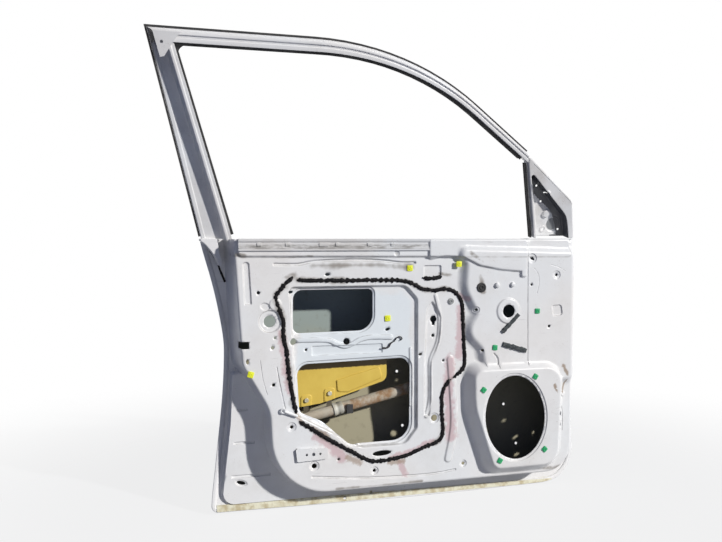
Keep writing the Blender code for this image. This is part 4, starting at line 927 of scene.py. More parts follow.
BEAD_FRONT = [(-0.737, 0.055), (-0.640, 0.053), (-0.500, 0.052), (-0.455, 0.046), (-0.421, 0.030),
              (-0.390, 0.025), (-0.360, 0.028), (-0.334, 0.020), (-0.315, -0.006), (-0.311, -0.050),
              (-0.308, -0.110), (-0.306, -0.150), (-0.312, -0.176), (-0.350, -0.205),
              (-0.366, -0.235), (-0.367, -0.290), (-0.364, -0.325), (-0.374, -0.352),
              (-0.420, -0.368), (-0.460, -0.383), (-0.505, -0.390), (-0.553, -0.390),
              (-0.606, -0.361), (-0.662, -0.328), (-0.703, -0.300), (-0.732, -0.281)]
BEAD_STEP, BEAD_SIDES = 0.0022, 9
CLIP_SIZES = {"yellow_plastic": 0.0145, "green_plastic": 0.0130}
CLIP_THICKNESS, CLIP_SHANK, CLIP_HOLE = 0.0020, (0.0064, 0.0085, 0.0064), 0.0038
YELLOW_CLIPS = [(-0.453, 0.081, FACE_Y), (-0.326, 0.090, FACE_Y), (-0.508, -0.042, FIELD_Y),
                (-0.847, -0.164, FACE_Y)]
GREEN_CLIPS = [(-0.111, -0.032, FRONT_Y), (-0.230, -0.122, FRONT_Y), (-0.124, -0.198, BOSS_Y),
               (-0.268, -0.225, BOSS_Y), (-0.222, -0.407, BOSS_Y), (-0.096, -0.387, BOSS_Y)]
ROUND_HOLES = [(-0.828, 0.027, 0.004), (-0.789, -0.080, 0.003), (-0.795, -0.103, 0.004),
               (-0.745, -0.091, 0.008), (-0.613, -0.095, 0.008), (-0.713, -0.112, 0.003),
               (-0.128, 0.036, 0.003), (-0.077, -0.072, 0.0035), (-0.280, -0.025, 0.0035),
               (-0.390, -0.088, 0.004), (-0.364, -0.151, 0.003), (-0.263, -0.128, 0.0035),
               (-0.387, -0.295, 0.008), (-0.308, -0.416, 0.004), (-0.046, -0.264, 0.003),
               (-0.035, -0.324, 0.003), (-0.039, -0.373, 0.0035), (-0.695, -0.392, 0.006),
               (-0.750, -0.294, 0.004), (-0.793, -0.191, 0.004), (-0.544, -0.415, 0.004),
               (-0.635, -0.380, 0.003), (-0.056, 0.060, 0.0035), (-0.489, 0.117, 0.0035)]
OVAL_HOLES = [(-0.751, 0.027, 0.006, 0.0035, 0.0), (-0.662, 0.068, 0.006, 0.0035, 0.0),
              (-0.508, -0.069, 0.006, 0.0035, 0.3), (-0.425, -0.133, 0.005, 0.003, 0.2),
              (-0.126, 0.103, 0.007, 0.0035, -0.6),
              (-0.525, -0.373, 0.024, 0.0065, 0.05), (-0.862, -0.436, 0.011, 0.0045, -0.3)]
RINGED_HOLES = [(-0.750, -0.294, 0.012), (-0.695, -0.392, 0.013), (-0.544, -0.415, 0.011),
                (-0.280, -0.025, 0.009), (-0.056, 0.060, 0.012), (-0.126, 0.103, 0.013),
                (-0.489, 0.117, 0.008), (-0.387, -0.295, 0.014), (-0.308, -0.416, 0.010)]


def panel_forms():
    """Raised and sunk areas of the inner pressing."""
    forms = [
        # Raised belt band, front zone and speaker boss
        Form(rounded(BELT_BAND), BAND_RAISE, 0.007, group="plateau"),
        Form(rounded(FRONT_ZONE, 10), FRONT_RAISE, 0.026, 0.013, 0.010, "plateau"),
        Form(rounded(UPPER_FRONT_BAND, 8), 0.0060, 0.0075, 0.0025, 0.0040),
        Form(rounded(SPEAKER_BOSS, 10), BOSS_RAISE, 0.028, 0.007, 0.007, "plateau"),
        # Sunk field round the service openings, and the valley before it
        Form(rounded(FIELD, 8), -FIELD_SINK, 0.007, 0.0025, 0.003),
        Form(rounded(VALLEY, 8), -0.005, 0.007),
        # Dishes of the two large round holes
        Form(oval(-0.801, -0.041, 0.0285, sides=40), -0.003, 0.005),
        Form(oval(-0.193, -0.030, 0.0290, sides=40), 0.0022, 0.0055),
        # Recess above the front bead, and the one beside the rear edge
        Form(box_outline(-0.417, -0.369, 0.053, 0.088, 0.004), -0.003, 0.003),
        Form(rounded([(-0.848, 0.100, 0.008), (-0.842, -0.002, 0.004), (-0.862, -0.002, 0.004),
                      (-0.866, 0.100, 0.008)]), -0.003, 0.004),
        # Turned rims of the openings
        Form(moved_in(UPPER_OPENING, -0.0065), -0.0022, 0.003),
        Form(moved_in(LOWER_OPENING, -0.0075), -0.0025, 0.0035),
        Form(moved_in(SPEAKER, -0.0075), -0.0018, 0.0025),
        # Ridge between the openings, and the recess round it
        Form(stroke([(-0.740, -0.088), (-0.665, -0.090), (-0.640, -0.099), (-0.618, -0.107),
                     (-0.598, -0.102), (-0.579, -0.092), (-0.550, -0.087), (-0.500, -0.089)], 0.0034),
             0.0030, 0.0040),
        Form(box_outline(-0.700, -0.520, -0.128, -0.103, 0.004), -0.0022, 0.003),
        # Ridge in the valley, and the groove above the field
        Form(stroke([(-0.385, 0.011), (-0.373, -0.044), (-0.378, -0.104), (-0.397, -0.149),
                     (-0.398, -0.199), (-0.399, -0.254), (-0.409, -0.289)], 0.0016), 0.0025, 0.005),
        Form(stroke([(-0.790, 0.093), (-0.735, 0.092), (-0.692, 0.099), (-0.606, 0.102), (-0.530, 0.100),
                     (-0.474, 0.094), (-0.440, 0.094)], 0.0050), -0.0042, 0.0050),
        # Soft ridge beside the boss, and fine folds of the front zone
        Form(stroke([(-0.345, -0.150), (-0.338, -0.230), (-0.335, -0.320), (-0.350, -0.400)], 0.006),
             0.0025, 0.006),
        Form(stroke([(-0.232, -0.138), (-0.222, -0.150), (-0.220, -0.172)], 0.0035), -0.0025, 0.003),
        Form(stroke([(-0.121, 0.078), (-0.108, 0.062), (-0.107, 0.036), (-0.112, 0.014)], 0.0010),
             -0.0014, 0.0020),
        Form(stroke([(-0.072, 0.086), (-0.050, 0.080), (-0.030, 0.070)], 0.0010), -0.0014, 0.0020),
        Form(rounded([(-0.070, -0.018, 0.005), (-0.040, -0.016, 0.009), (-0.036, -0.046, 0.008),
                      (-0.066, -0.048, 0.005)]), -0.0022, 0.003),
        # Dent and boss beside the rear dish, and folds along the rear bead
        Form(oval(-0.812, -0.006, 0.013, 0.010, -0.3, 24), -0.002, 0.003),
        Form(oval(-0.788, -0.001, 0.012, 0.012, 0, 24), 0.0015, 0.004),
        Form(stroke([(-0.824, -0.132), (-0.818, -0.177), (-0.808, -0.213)], 0.0012), -0.0014, 0.0020),
        Form(stroke([(-0.785, -0.150), (-0.775, -0.205), (-0.765, -0.250)], 0.0020), -0.0018, 0.003),
        # Groove above the sill, and folds beside the field and the front zone
        Form(stroke([(-0.700, -0.418), (-0.560, -0.432), (-0.400, -0.436), (-0.330, -0.430)], 0.004),
             -0.0025, 0.004),
        Form(stroke([(-0.448, -0.120), (-0.446, -0.200), (-0.447, -0.260)], 0.0018), 0.0018, 0.0040),
        Form(stroke([(-0.138, 0.118), (-0.138, 0.000), (-0.1365, -0.170)], 0.0012), -0.0022, 0.0018),
        # Studs of the front zone and of the boss
        Form(oval(-0.225, 0.036, 0.0055, sides=16), 0.0045, 0.0020),
        Form(oval(-0.182, 0.037, 0.0050, sides=16), 0.0045, 0.0020),
        Form(oval(-0.0435, -0.297, 0.0060, sides=16), 0.0035, 0.0025),
        Form(oval(-0.0400, -0.326, 0.0055, sides=16), 0.0035, 0.0025),
        Form(oval(-0.0270, -0.253, 0.0055, sides=16), 0.0030, 0.0025),
        # Fine folds beside the speaker boss
        Form(stroke([(-0.060, -0.286), (-0.035, -0.282), (-0.026, -0.300), (-0.026, -0.350)], 0.0010),
             -0.0014, 0.0016),
        Form(stroke([(-0.052, -0.346), (-0.030, -0.346)], 0.0008), -0.0010, 0.0012),
        # Short notches across the shelf, and the dish of its oval hole
        Form(box_outline(-0.872, -0.846, -0.262, -0.256), -0.0025, 0.0015),
        Form(box_outline(-0.880, -0.828, -0.342, -0.335), -0.0025, 0.0015),
        Form(box_outline(-0.886, -0.790, -0.424, -0.416), -0.0025, 0.0015),
        Form(oval(-0.862, -0.436, 0.0165, 0.0085, -0.3, 28), -0.0018, 0.003),
    ]
    forms += [Form(oval(x, z, r, sides=24), -0.0015, 0.0025) for x, z, r in RINGED_HOLES]
    return forms


def steepness(x):
    """Depth that the pan's wall falls per length outward: drafted at the rear, steep in front."""
    return WALL_STEEPNESS + (FRONT_STEEPNESS - WALL_STEEPNESS) * np.clip(x / 0.03 + 1.2, 0, 1)


def pan_wall(points, inside):
    """Depth of the pan's wall below its face, for each signed distance to the pan's outline."""
    steep = steepness(points[:, 0])
    round_part = SHOULDER - np.sqrt(np.clip(SHOULDER ** 2 - (SHOULDER - inside) ** 2, 0, None))
    return np.where(inside >= SHOULDER, 0.0,
                    np.where(inside >= 0, round_part, SHOULDER - inside * steep))


def panel_height(points, forms, pan, shelf):
    """Y of the inner pressing at each point (x, z)."""
    flange = skin_y(points[:, 1]) - FLANGE_DEPTH
    on_shelf = ramp(depth_inside(points, shelf) + 0.003, 0.003, 0.001, 0.001)
    level = flange + (np.minimum(SHELF_Y, flange) - flange) * on_shelf
    raised = np.zeros(len(points))
    added = np.zeros(len(points))
    for form in forms:
        share = form.share(points) * form.rise * (1.0 if form.width > 0.0065 else FOLD_EMPHASIS)
        if form.group == "plateau":
            raised = np.maximum(raised, share)
        else:
            added += share
    wall = FACE_Y + pan_wall(points, depth_inside(points, pan))
    face = np.minimum(level, wall) - np.where(wall < level, raised, 0.0)
    return face - added


def panel_marks(forms):
    """Where stains, dirt, rust and painted shade lie on the pressing, from 0 to 1: painted shade on the walls
    of the folds and in the sunk field, and together with dirt along the belt and in corners.
    """
    def near(route, reach):
        return lambda p: np.clip(1 - distance_to_route(p, route) / reach, 0, 1)

    def several(*parts):
        return lambda p: np.clip(np.maximum.reduce([f(p) for f in parts]), 0, 1)

    bead = near(smooth(BEAD_REAR), 0.020), near(smooth(BEAD_FRONT), 0.016)
    # Pink adhesive beside the bead
    stain = several(near([(-0.345, -0.150), (-0.352, -0.225), (-0.345, -0.300), (-0.342, -0.345)], 0.030),
                    near([(-0.318, -0.020), (-0.322, -0.140)], 0.022),
                    near([(-0.775, -0.070), (-0.765, -0.130), (-0.755, -0.210)], 0.022),
                    near([(-0.300, 0.000), (-0.320, 0.010)], 0.016),
                    near([(-0.690, -0.318), (-0.655, -0.345), (-0.625, -0.378)], 0.026),
                    near([(-0.500, -0.386), (-0.440, -0.372), (-0.392, -0.352)], 0.016),
                    near([(-0.478, -0.400), (-0.466, -0.430)], 0.018))
    # Brown drips under the lower opening
    brown = several(near([(-0.700, -0.300), (-0.664, -0.322)], 0.017),
                    near([(-0.612, -0.378), (-0.580, -0.392)], 0.017),
                    near([(-0.505, -0.398), (-0.470, -0.398)], 0.015),
                    near([(-0.740, -0.262), (-0.725, -0.285)], 0.012))
    # Dirt beside the bead and in a few spots, with painted shade under the belt band, along the groove below
    # it and in the corners
    grime_and_shade = several(near([(-0.890, 0.118), (-0.860, 0.112)], 0.010),
                    near([(-0.770, 0.060), (-0.740, 0.072)], 0.012),
                    near([(-0.300, 0.118), (-0.262, 0.092)], 0.012),
                    near([(-0.345, 0.062), (-0.372, 0.066)], 0.010),
                    near([(-0.640, -0.452), (-0.420, -0.452)], 0.010),
                    near([(-0.700, 0.088), (-0.560, 0.090), (-0.450, 0.084)], 0.018),
                    near([(-0.790, 0.108), (-0.700, 0.112)], 0.010),
                    near([(-0.270, 0.060), (-0.262, 0.020)], 0.016),
                    near([(-0.098, -0.444), (0.010, -0.452)], 0.014), *bead)
    # Rust at the edge beside the speaker boss
    rust = several(near([(-0.033, -0.176), (-0.022, -0.200)], 0.010),
                   near([(-0.069, -0.222), (-0.060, -0.240)], 0.009),
                   near([(-0.020, -0.215), (-0.030, -0.250)], 0.006))

    # Painted bluish shade in the sunk field, growing over 30 mm inward from its rim
    def field_shade(p):
        return np.clip(depth_inside(p, rounded(FIELD, 6)) / 0.030, 0, 1)

    def seal(p):
        return np.clip(1 - (p[:, 1] - SILL_Z) / 0.022, 0, 1)

    # Painted shade on the walls of the narrow forms, strongest halfway up each wall
    def fold(p):
        shares = [f.share(p) for f in forms if f.width < 0.012]
        return np.maximum.reduce([4 * s * (1 - s) for s in shares])

    return [("stain", stain), ("brown", brown), ("grime_and_shade", lambda p: 0.72 * grime_and_shade(p)), ("rust", rust),
            ("sealer", seal), ("fold", fold), ("field_shade", field_shade)]


def panel_holes():
    """Every opening and hole of the inner pressing."""
    holes = [UPPER_OPENING, LOWER_OPENING, SPEAKER, oval(-0.801, -0.041, 0.0140, sides=32),
             oval(-0.193, -0.030, 0.0165, sides=32), box_outline(-0.872, -0.850, -0.104, -0.087, 0.002),
             oval(-0.854, -0.134, 0.0035, 0.006), keyhole(-0.389, -0.047, 0.0085, 0.0038, 0.0150)]
    holes += [oval(x, z, r, sides=16) for x, z, r in ROUND_HOLES]
    holes += [oval(*o) for o in OVAL_HOLES]
    holes += [oval(x, z, 0.004, sides=12) for x, z in ((-0.602, -0.497), (-0.532, -0.490))]
    half = CLIP_HOLE
    holes += [box_outline(x - half, x + half, z - half, z + half) for x, z, _ in YELLOW_CLIPS + GREEN_CLIPS]
    for height in (0.0, -0.330):
        for y in (-0.020, 0.020):
            x = (y - FACE_Y - SHOULDER) / FRONT_STEEPNESS
            holes.append(oval(x, height, 0.0055 / FRONT_STEEPNESS, 0.0055, sides=12))
    return holes


class DOOR_OT_inner_panel(bpy.types.Operator):
    """Deep-drawn inner pressing with its fields, boss, openings and holes"""
    bl_idname = "door_shell.inner_panel"
    bl_label = "Inner panel"

    def execute(self, context):
        forms = panel_forms()
        pan = resampled(pan_outline(), OUTLINE_STEP)
        shelf = resampled(rounded(SHELF, 8), OUTLINE_STEP)
        border = resampled(chain_moved_in(door_edge(), SKIN_SHEET + GAP), OUTLINE_STEP)

        def wall_foot(share):
            def reach(x, z):
                deep = skin_y(z) - FLANGE_DEPTH - FACE_Y - SHOULDER
                return -deep * share / float(steepness(x))

            return moved_in(pan, reach)

        lines = [moved_in(pan, SHOULDER * v) for v in (0, 0.12, 0.32, 0.6, 1.0, 1.25)]
        lines += [wall_foot(v) for v in (0.25, 0.5, 0.75, 1.0)]
        lines += [moved_in(pan, -(SHELF_Y - FACE_Y - SHOULDER) / WALL_STEEPNESS)]
        lines += [moved_in(shelf, v) for v in (0.0, -0.001, -0.003)]
        for form in forms:
            lines += form.lines()
        bm = sheet_from_outlines(border, lines, panel_holes(), PANEL_GRID,
                                 lambda p: panel_height(p, forms, pan, shelf), panel_marks(forms))
        obj = piece("panel_pressing", bm, paint("Panel paint", stained_and_shaded=True),
                    ["inner_panel"], crease=50)
        # The panel's back is near black, as painted shade inside the door
        walled(obj, INNER_SHEET, cavity_painted_shade())
        return {"FINISHED"}


class DOOR_OT_outer_skin(bpy.types.Operator):
    """Outer skin with its rolled hem and the handle aperture"""
    bl_idname = "door_shell.outer_skin"
    bl_label = "Outer skin"

    def execute(self, context):
        edge = door_edge()
        turn = HEM_DEPTH / 2
        holes = [rounded([(-0.858, 0.014, 0.012), (-0.757, 0.014, 0.012), (-0.757, -0.032, 0.012),
                          (-0.858, -0.032, 0.012)]), oval(-0.876, -0.010, 0.009)]
        holes += [oval(x, z, 0.0035, sides=12) for x, z in ((-0.487, -0.161), (-0.452, -0.190),
                                                            (-0.440, -0.330), (-0.150, -0.292),
                                                            (-0.118, -0.398))]
        inner = chain_moved_in(edge, turn)
        bm = sheet_from_outlines(inner, [], holes, SKIN_GRID, lambda p: skin_y(p[:, 1]))
        bmesh.ops.reverse_faces(bm, faces=bm.faces)
        stations = []
        for k in range(9):
            a = math.pi * k / 8
            reach, deep = turn * (1 - math.sin(a)), turn * (1 - math.cos(a))
            stations.append([(x, skin_y(z) - deep, z) for x, z in chain_moved_in(edge, reach)])
        for reach in (0.006, 0.012):
            stations.append([(x, skin_y(z) - 2 * turn, z) for x, z in chain_moved_in(edge, reach)])
        hem = bmesh.new()
        extruded_ring(hem, stations, closed=False)
        probe = min(hem.faces, key=lambda f: f.calc_center_median().z)
        if probe.normal.z > 0:
            bmesh.ops.reverse_faces(hem, faces=hem.faces)
        whole = joined([bm, hem])
        bmesh.ops.remove_doubles(whole, verts=whole.verts, dist=0.00002)
        obj = piece("skin_pressing", whole, paint(), ["outer_skin"], crease=40)
        walled(obj, SKIN_SHEET, cavity_primer())
        return {"FINISHED"}


def rail_path(steps=28):
    """Outer line of the upper rail in the frame's plane."""
    turn = math.atan(RAIL_FALL)
    reach = RAIL_BEND_RADIUS * math.tan(turn / 2)
    path = [(FRAME_REAR_X, FRAME_TOP_W)]
    for k in range(steps + 1):
        a = turn * k / steps
        path.append((RAIL_BEND_X - reach + RAIL_BEND_RADIUS * math.sin(a),
                     FRAME_TOP_W - RAIL_BEND_RADIUS * (1 - math.cos(a))))
    path.append((RAIL_FRONT_X, rail_w(RAIL_FRONT_X)))
    return path


def sash_line(w):
    """X of the sash's rear edge at a height."""
    return FRAME_REAR_X + (FRAME_TOP_W - w) * SASH_FALL


def sash_width(w):
    """Width of the sash's sheet at a height."""
    share = (w - FRAME_FOOT_W) / (FRAME_TOP_W - FRAME_FOOT_W)
    return SASH_WIDTH + (SASH_TOP_WIDTH - SASH_WIDTH) * share


def rail_w(x):
    """Height of the rail's straight front part."""
    return FRAME_TOP_W - (x - RAIL_BEND_X) * RAIL_FALL


def inner_corner():
    """Where the window sides of the rail and the sash meet."""
    w = FRAME_TOP_W - RAIL_WIDTH
    return Vector((sash_line(w) + sash_width(w) * math.sqrt(1 + SASH_FALL ** 2), w))


class DOOR_OT_window_frame(bpy.types.Operator):
    """Upper rail and rear sash of the window frame"""
    bl_idname = "door_shell.window_frame"
    bl_label = "Window frame"

    def execute(self, context):
        top = Vector((FRAME_REAR_X, FRAME_TOP_W))
        slant = math.sqrt(1 + SASH_FALL ** 2)

        def rail(share):
            width = RAIL_WIDTH + (RAIL_FRONT_WIDTH - RAIL_WIDTH) * share
            s, floor = width / RAIL_WIDTH, width - CHANNEL_DEPTH
            return [(0.000, -0.0020), (0.0038 * s, -0.0026), (0.0046 * s, -0.0122), (0.0056 * s, -0.0138),
                    (0.0100 * s, -0.0150), (0.0112 * s, -0.0147), (0.0120 * s, -0.0126),
                    (0.0172 * s, -0.0126), (0.0180 * s, -0.0147), (0.0190 * s, -0.0150),
                    (width, -0.0150), (width, -0.0050), (floor, -0.0050), (floor, 0.0110),
                    (width, 0.0110), (width, 0.0130), (0.000, 0.0130)]

        path = rail_path()
        path[0] = (FRAME_REAR_X + GAP, FRAME_TOP_W)
        bm = bmesh.new()
        extruded_ring(bm, path_stations(path, rail, (inner_corner() - top) / RAIL_WIDTH,
                                        (0.0, -math.sqrt(1 + RAIL_FALL ** 2))))
        obj = piece("rail_section", bm, paint(), ["upper_sash_rail"], FRAME_PLACE)
        eased(obj, 0.0007)

        corner_width = sash_width(FRAME_TOP_W - RAIL_WIDTH)

        def sash(share):
            width = SASH_WIDTH + (corner_width - SASH_WIDTH) * share
            level = SASH_FLOOR_V + (SASH_TOP_FLOOR_V - SASH_FLOOR_V) * share
            floor = width - CHANNEL_DEPTH
            return [(0.000, level), (0.0010, level - 0.0016), (0.0084, level - 0.0016),
                    (0.0094, level - 0.0010), (0.0100, level), (width - 0.0200, level),
                    (width - 0.0140, -0.0140), (width - 0.0130, -0.0150), (width - 0.0085, -0.0150),
                    (width - 0.0075, -0.0143), (width - 0.0065, -0.0130), (width, -0.0130),
                    (width, -0.0050), (floor, -0.0050), (floor, 0.0110), (width, 0.0110),
                    (width, 0.0130), (width - 0.0100, 0.0160), (0.000, 0.0160)]

        foot_w = FRAME_FOOT_W - 0.0060
        foot = Vector((sash_line(foot_w), foot_w))
        bm = bmesh.new()
        line = [tuple(foot.lerp(top, k / 12)) for k in range(13)]
        extruded_ring(bm, path_stations(line, sash, (slant, 0.0), (inner_corner() - top) / corner_width))
        obj = piece("sash_section", bm, paint(), ["rear_sash"], FRAME_PLACE)
        eased(obj, 0.0007)
        return {"FINISHED"}


class DOOR_OT_mirror_triangle(bpy.types.Operator):
    """Pressed triangle that carries the door mirror"""
    bl_idname = "door_shell.mirror_triangle"
    bl_label = "Mirror triangle"

    def execute(self, context):
        side = GAP + 0.0012
        bar_top = (rail_w(DIVISION_TOP_X + DIVISION_WIDTH)
                   - RAIL_FRONT_WIDTH * math.sqrt(1 + RAIL_FALL ** 2) - 0.0039)
        outline = rounded([(RAIL_FRONT_X + side, rail_w(RAIL_FRONT_X) - 0.006, 0.006),
                           (0.003, 0.109, 0.020), (0.026, FRAME_FOOT_W, 0.006),
                           (DIVISION_FOOT_X + DIVISION_WIDTH + side, FRAME_FOOT_W, 0.006),
                           (RAIL_FRONT_X + side, bar_top, 0.006)], 8)
        outline = resampled(outline, 0.006)
        rim = moved_in(outline, 0.0005)
        floor = Form(rounded([(-0.1320, 0.1885, 0.006), (-0.0060, 0.0680, 0.062), (0.0185, -0.020, 0.006),
                              (-0.0800, -0.020, 0.006)], 10), -0.022, 0.0055, 0.0018, 0.0020)
        forms = [floor,
                 Form(oval(-0.033, 0.040, 0.0225, sides=32), -0.002, 0.003),
                 Form(oval(-0.0577, 0.0683, 0.0085, sides=24), 0.0050, 0.003),
                 Form(oval(-0.0735, 0.1265, 0.0070, sides=20), 0.003, 0.003),
                 Form(oval(-0.077, 0.101, 0.0075, sides=20), -0.0015, 0.002),
                 Form(oval(-0.060, 0.026, 0.0085, sides=20), 0.0015, 0.002),
                 Form(stroke([(-0.118, 0.150), (-0.100, 0.090), (-0.088, 0.040)], 0.003), 0.003, 0.003),
                 Form(stroke([(-0.125, 0.203), (-0.045, 0.140), (0.004, 0.098), (0.018, 0.050)], 0.0008),
                      -0.0012, 0.0008)]
        disc = oval(-0.033, 0.040, 0.0170, sides=32)
        foot = rounded([(-0.062, 0.0125, 0.008), (-0.018, 0.0135, 0.010), (-0.009, -0.012, 0.002),
                        (-0.036, -0.012, 0.006), (-0.044, 0.002, 0.006)], 4)
        arc = smooth([(-0.132, 0.1885), (-0.085, 0.145), (-0.030, 0.098), (-0.004, 0.060), (0.010, 0.012),
                      (0.016, -0.02)])

        # Black: painted shadow in the crescent of the floor beside its rim, and a black patch on the foot
        def black(p):
            shadow_crescent = np.clip((0.029 - distance_to_route(p, arc)) / 0.002, 0, 1) * (floor.share(p) > 0.05)
            return np.maximum(shadow_crescent, np.clip(depth_inside(p, foot) / 0.0015, 0, 1))

        # Grey on the disc is painted shade, standing for the dim view through a hole
        marks = [("black", black), ("grey", lambda p: np.clip(depth_inside(p, disc) / 0.0015 + 0.5, 0, 1))]
        holes = [oval(-0.060, 0.026, 0.004),
                 oval(-0.014, 0.026, 0.003, sides=12), oval(-0.097, 0.143, 0.003, sides=12),
                 oval(-0.0735, 0.1265, 0.0025, sides=12), oval(-0.077, 0.101, 0.003, sides=12)]

        edge_radius = 0.003

        def height(p):
            inside = depth_inside(p, rim)
            short = edge_radius - np.clip(inside, 0, None)
            edge = np.where(inside < edge_radius,
                            edge_radius - np.sqrt(np.clip(edge_radius ** 2 - short ** 2, 0, None)), 0)
            return -0.014 + edge - sum(f.share(p) * f.rise for f in forms)

        lines = [moved_in(rim, v) for v in (0.0004, 0.0012, edge_radius)]
        for form in forms:
            lines += form.lines()
        lines += [disc, moved_in(disc, -0.0010), foot, moved_in(foot, -0.0010)]
        bm = sheet_from_outlines(rim, lines, holes, SAIL_GRID, height, marks)
        edges = [e for e in bm.edges if e.is_boundary and min(
            (Vector((v.co.x, v.co.z)) - Vector(q)).length for v in e.verts for q in rim) < 0.0004]
        out = bmesh.ops.extrude_edge_only(bm, edges=edges)["geom"]
        for v in out:
            if isinstance(v, bmesh.types.BMVert):
                v.co.y = 0.0130
        bmesh.ops.recalc_face_normals(bm, faces=bm.faces)
        if sum(f.normal.y * f.calc_area() for f in bm.faces) > 0:
            bmesh.ops.reverse_faces(bm, faces=bm.faces)
        obj = piece("sail_pressing", bm, paint("Sail paint", stained_and_shaded=True, dirt=2.0),
                    ["mirror_bracket"], FRAME_PLACE, 50)
        walled(obj, INNER_SHEET)
        return {"FINISHED"}


class DOOR_OT_belt(bpy.types.Operator):
    """Stepped strip along the belt, with its folded tabs"""
    bl_idname = "door_shell.belt"
    bl_label = "Belt strip"

    def execute(self, context):
        back = FACE_Y - BAND_RAISE - GAP
        section = [(back, 0.124), (back - 0.0028, 0.124), (back - 0.0040, 0.1255), (back - 0.0040, 0.1315),
                   (back - 0.0016, 0.1340), (back - 0.0016, 0.1440), (back - 0.0042, 0.1468),
                   (back - 0.0045, 0.1475), (back - 0.0045, BELT_Z + 0.001), (back, BELT_Z + 0.001)]
        stations = [[(x, y, z) for y, z in section]
                    for x in np.linspace(-0.889 + 0.014, -0.150, 40)]
        strip = bmesh.new()
        extruded_ring(strip, stations)
        parts = [strip]
        for x, long in BELT_TABS:
            parts.append(drawn_out(box_outline(x - long / 2, x + long / 2, 0.1352, 0.1435, 0.0012),
                                   back - 0.0034, back - 0.0012))
        finish = paint("Belt paint", dirt=2.0, dull=0.88, band=(0.1300, 0.1385))
        obj = piece("belt_strip", joined(parts), finish, ["belt_inner_rail"])
        eased(obj, 0.0005)
        return {"FINISHED"}


def ragged_bead(name, route, node, seed):
    """Sealing bead of uneven width along a route on the panel's face."""
    chosen = settings()
    path = [Vector(p) for p in (smooth(route, 12) if len(route) > 2 else route)]
    length = sum((b - a).length for a, b in zip(path, path[1:]))
    count = int(length / BEAD_STEP)
    steps, walked, k = [], 0.0, 0
    for i in range(count + 1):
        want = length * i / count
        while k < len(path) - 2 and walked + (path[k + 1] - path[k]).length < want:
            walked += (path[k + 1] - path[k]).length
            k += 1
        run = path[k + 1] - path[k]
        steps.append((path[k] + run * min(1, (want - walked) / run.length), run.normalized()))
    stations = []
    for i, (here, run) in enumerate(steps):
        side = Vector((-run.y, run.x))
        wander = noise.noise(Vector((i * 0.12, seed, 0.0))) * 0.0016
        swell = 1 + 0.65 * noise.noise(Vector((i * 0.31, seed, 3.0))) + 0.30 * noise.noise(
            Vector((i * 0.9, seed, 7.0)))
        end = min(1.0, 0.35 + min(i, count - i) * 0.2)
        half = chosen.bead_width / 2 * swell * end
        high = chosen.bead_height * (0.75 + 0.4 * noise.noise(Vector((i * 0.4, seed, 9.0)))) * end
        ring = []
        for s in range(BEAD_SIDES):
            a = math.pi * s / (BEAD_SIDES - 1)
            lump = 1 + 0.50 * noise.noise(Vector((i * 0.8, s * 0.9, seed)))
            u = -math.cos(a) * half * lump + wander
            spot = here + side * u
            ring.append((spot.x, FACE_Y - GAP - max(0.0, math.sin(a)) * high * lump, spot.y))
        stations.append(ring)
    bm = bmesh.new()
    extruded_ring(bm, stations)
    return piece(name, bm, butyl(), [node] if node else [], crease=70)


class DOOR_OT_beads(bpy.types.Operator):
    """Black sealing bead round the service openings"""
    bl_idname = "door_shell.beads"
    bl_label = "Sealing beads"

    def execute(self, context):
        ragged_bead("butyl_rear", BEAD_REAR, "bead_rear", 1.0)
        ragged_bead("butyl_front", BEAD_FRONT, "bead_front", 5.0)
        ragged_bead("butyl_scrap", [(-0.421, 0.0565), (-0.395, 0.0545), (-0.368, 0.0585)], None, 9.0)
        return {"FINISHED"}


def surface_level(x, z, reach):
    """Nearest Y of the pressing under a square about (x, z)."""
    corners = np.array([(x + a * reach, z + b * reach) for a in (-1, 0, 1) for b in (-1, 0, 1)])
    return float(panel_height(corners, panel_forms(), pan_outline(), rounded(SHELF, 10)).min())


def trim_clip(name, x, z, level, finish, slot_name, node, tilt=0.0):
    """Square clip with rounded corners, a raised collar round its bore, and a shank."""
    size = CLIP_SIZES[slot_name]
    back = min(level, surface_level(x, z, size / 2)) - GAP
    bm = bmesh.new()
    bmesh.ops.create_cube(bm, size=1.0)
    bmesh.ops.scale(bm, vec=(size, CLIP_THICKNESS, size), verts=bm.verts)
    upright = [e for e in bm.edges if abs((e.verts[0].co - e.verts[1].co).y) > 0.001]
    bmesh.ops.bevel(bm, geom=upright, offset=0.0018, segments=3, profile=0.5, affect="EDGES", material=-1)
    front = min(bm.faces, key=lambda f: f.calc_center_median().y)
    bmesh.ops.bevel(bm, geom=list(front.edges), offset=0.0005, segments=2, profile=0.5, affect="EDGES",
                    material=-1)
    bmesh.ops.translate(bm, vec=(0, -CLIP_THICKNESS / 2, 0), verts=bm.verts)
    collar = bmesh.new()
    rings = [(0.0038, -0.0015), (0.0036, -0.0026), (0.0031, -0.0029), (0.0024, -0.0026), (0.0021, -0.0015),
             (0.0020, 0.0050)]
    extruded_ring(collar, [[(r * math.cos(2 * math.pi * k / 16), y, r * math.sin(2 * math.pi * k / 16))
                            for k in range(16)] for r, y in rings], capped=False)
    shank = bmesh.new()
    bmesh.ops.create_cube(shank, size=1.0)
    bmesh.ops.scale(shank, vec=CLIP_SHANK, verts=shank.verts)
    bmesh.ops.translate(shank, vec=(0, 0.0040, 0), verts=shank.verts)
    whole = joined([bm, collar, shank])
    turn = Matrix.Rotation(tilt, 4, "Y")
    bmesh.ops.transform(whole, matrix=Matrix.Translation((x, back, z)) @ turn, verts=whole.verts)
    return piece(name, whole, finish, [node])


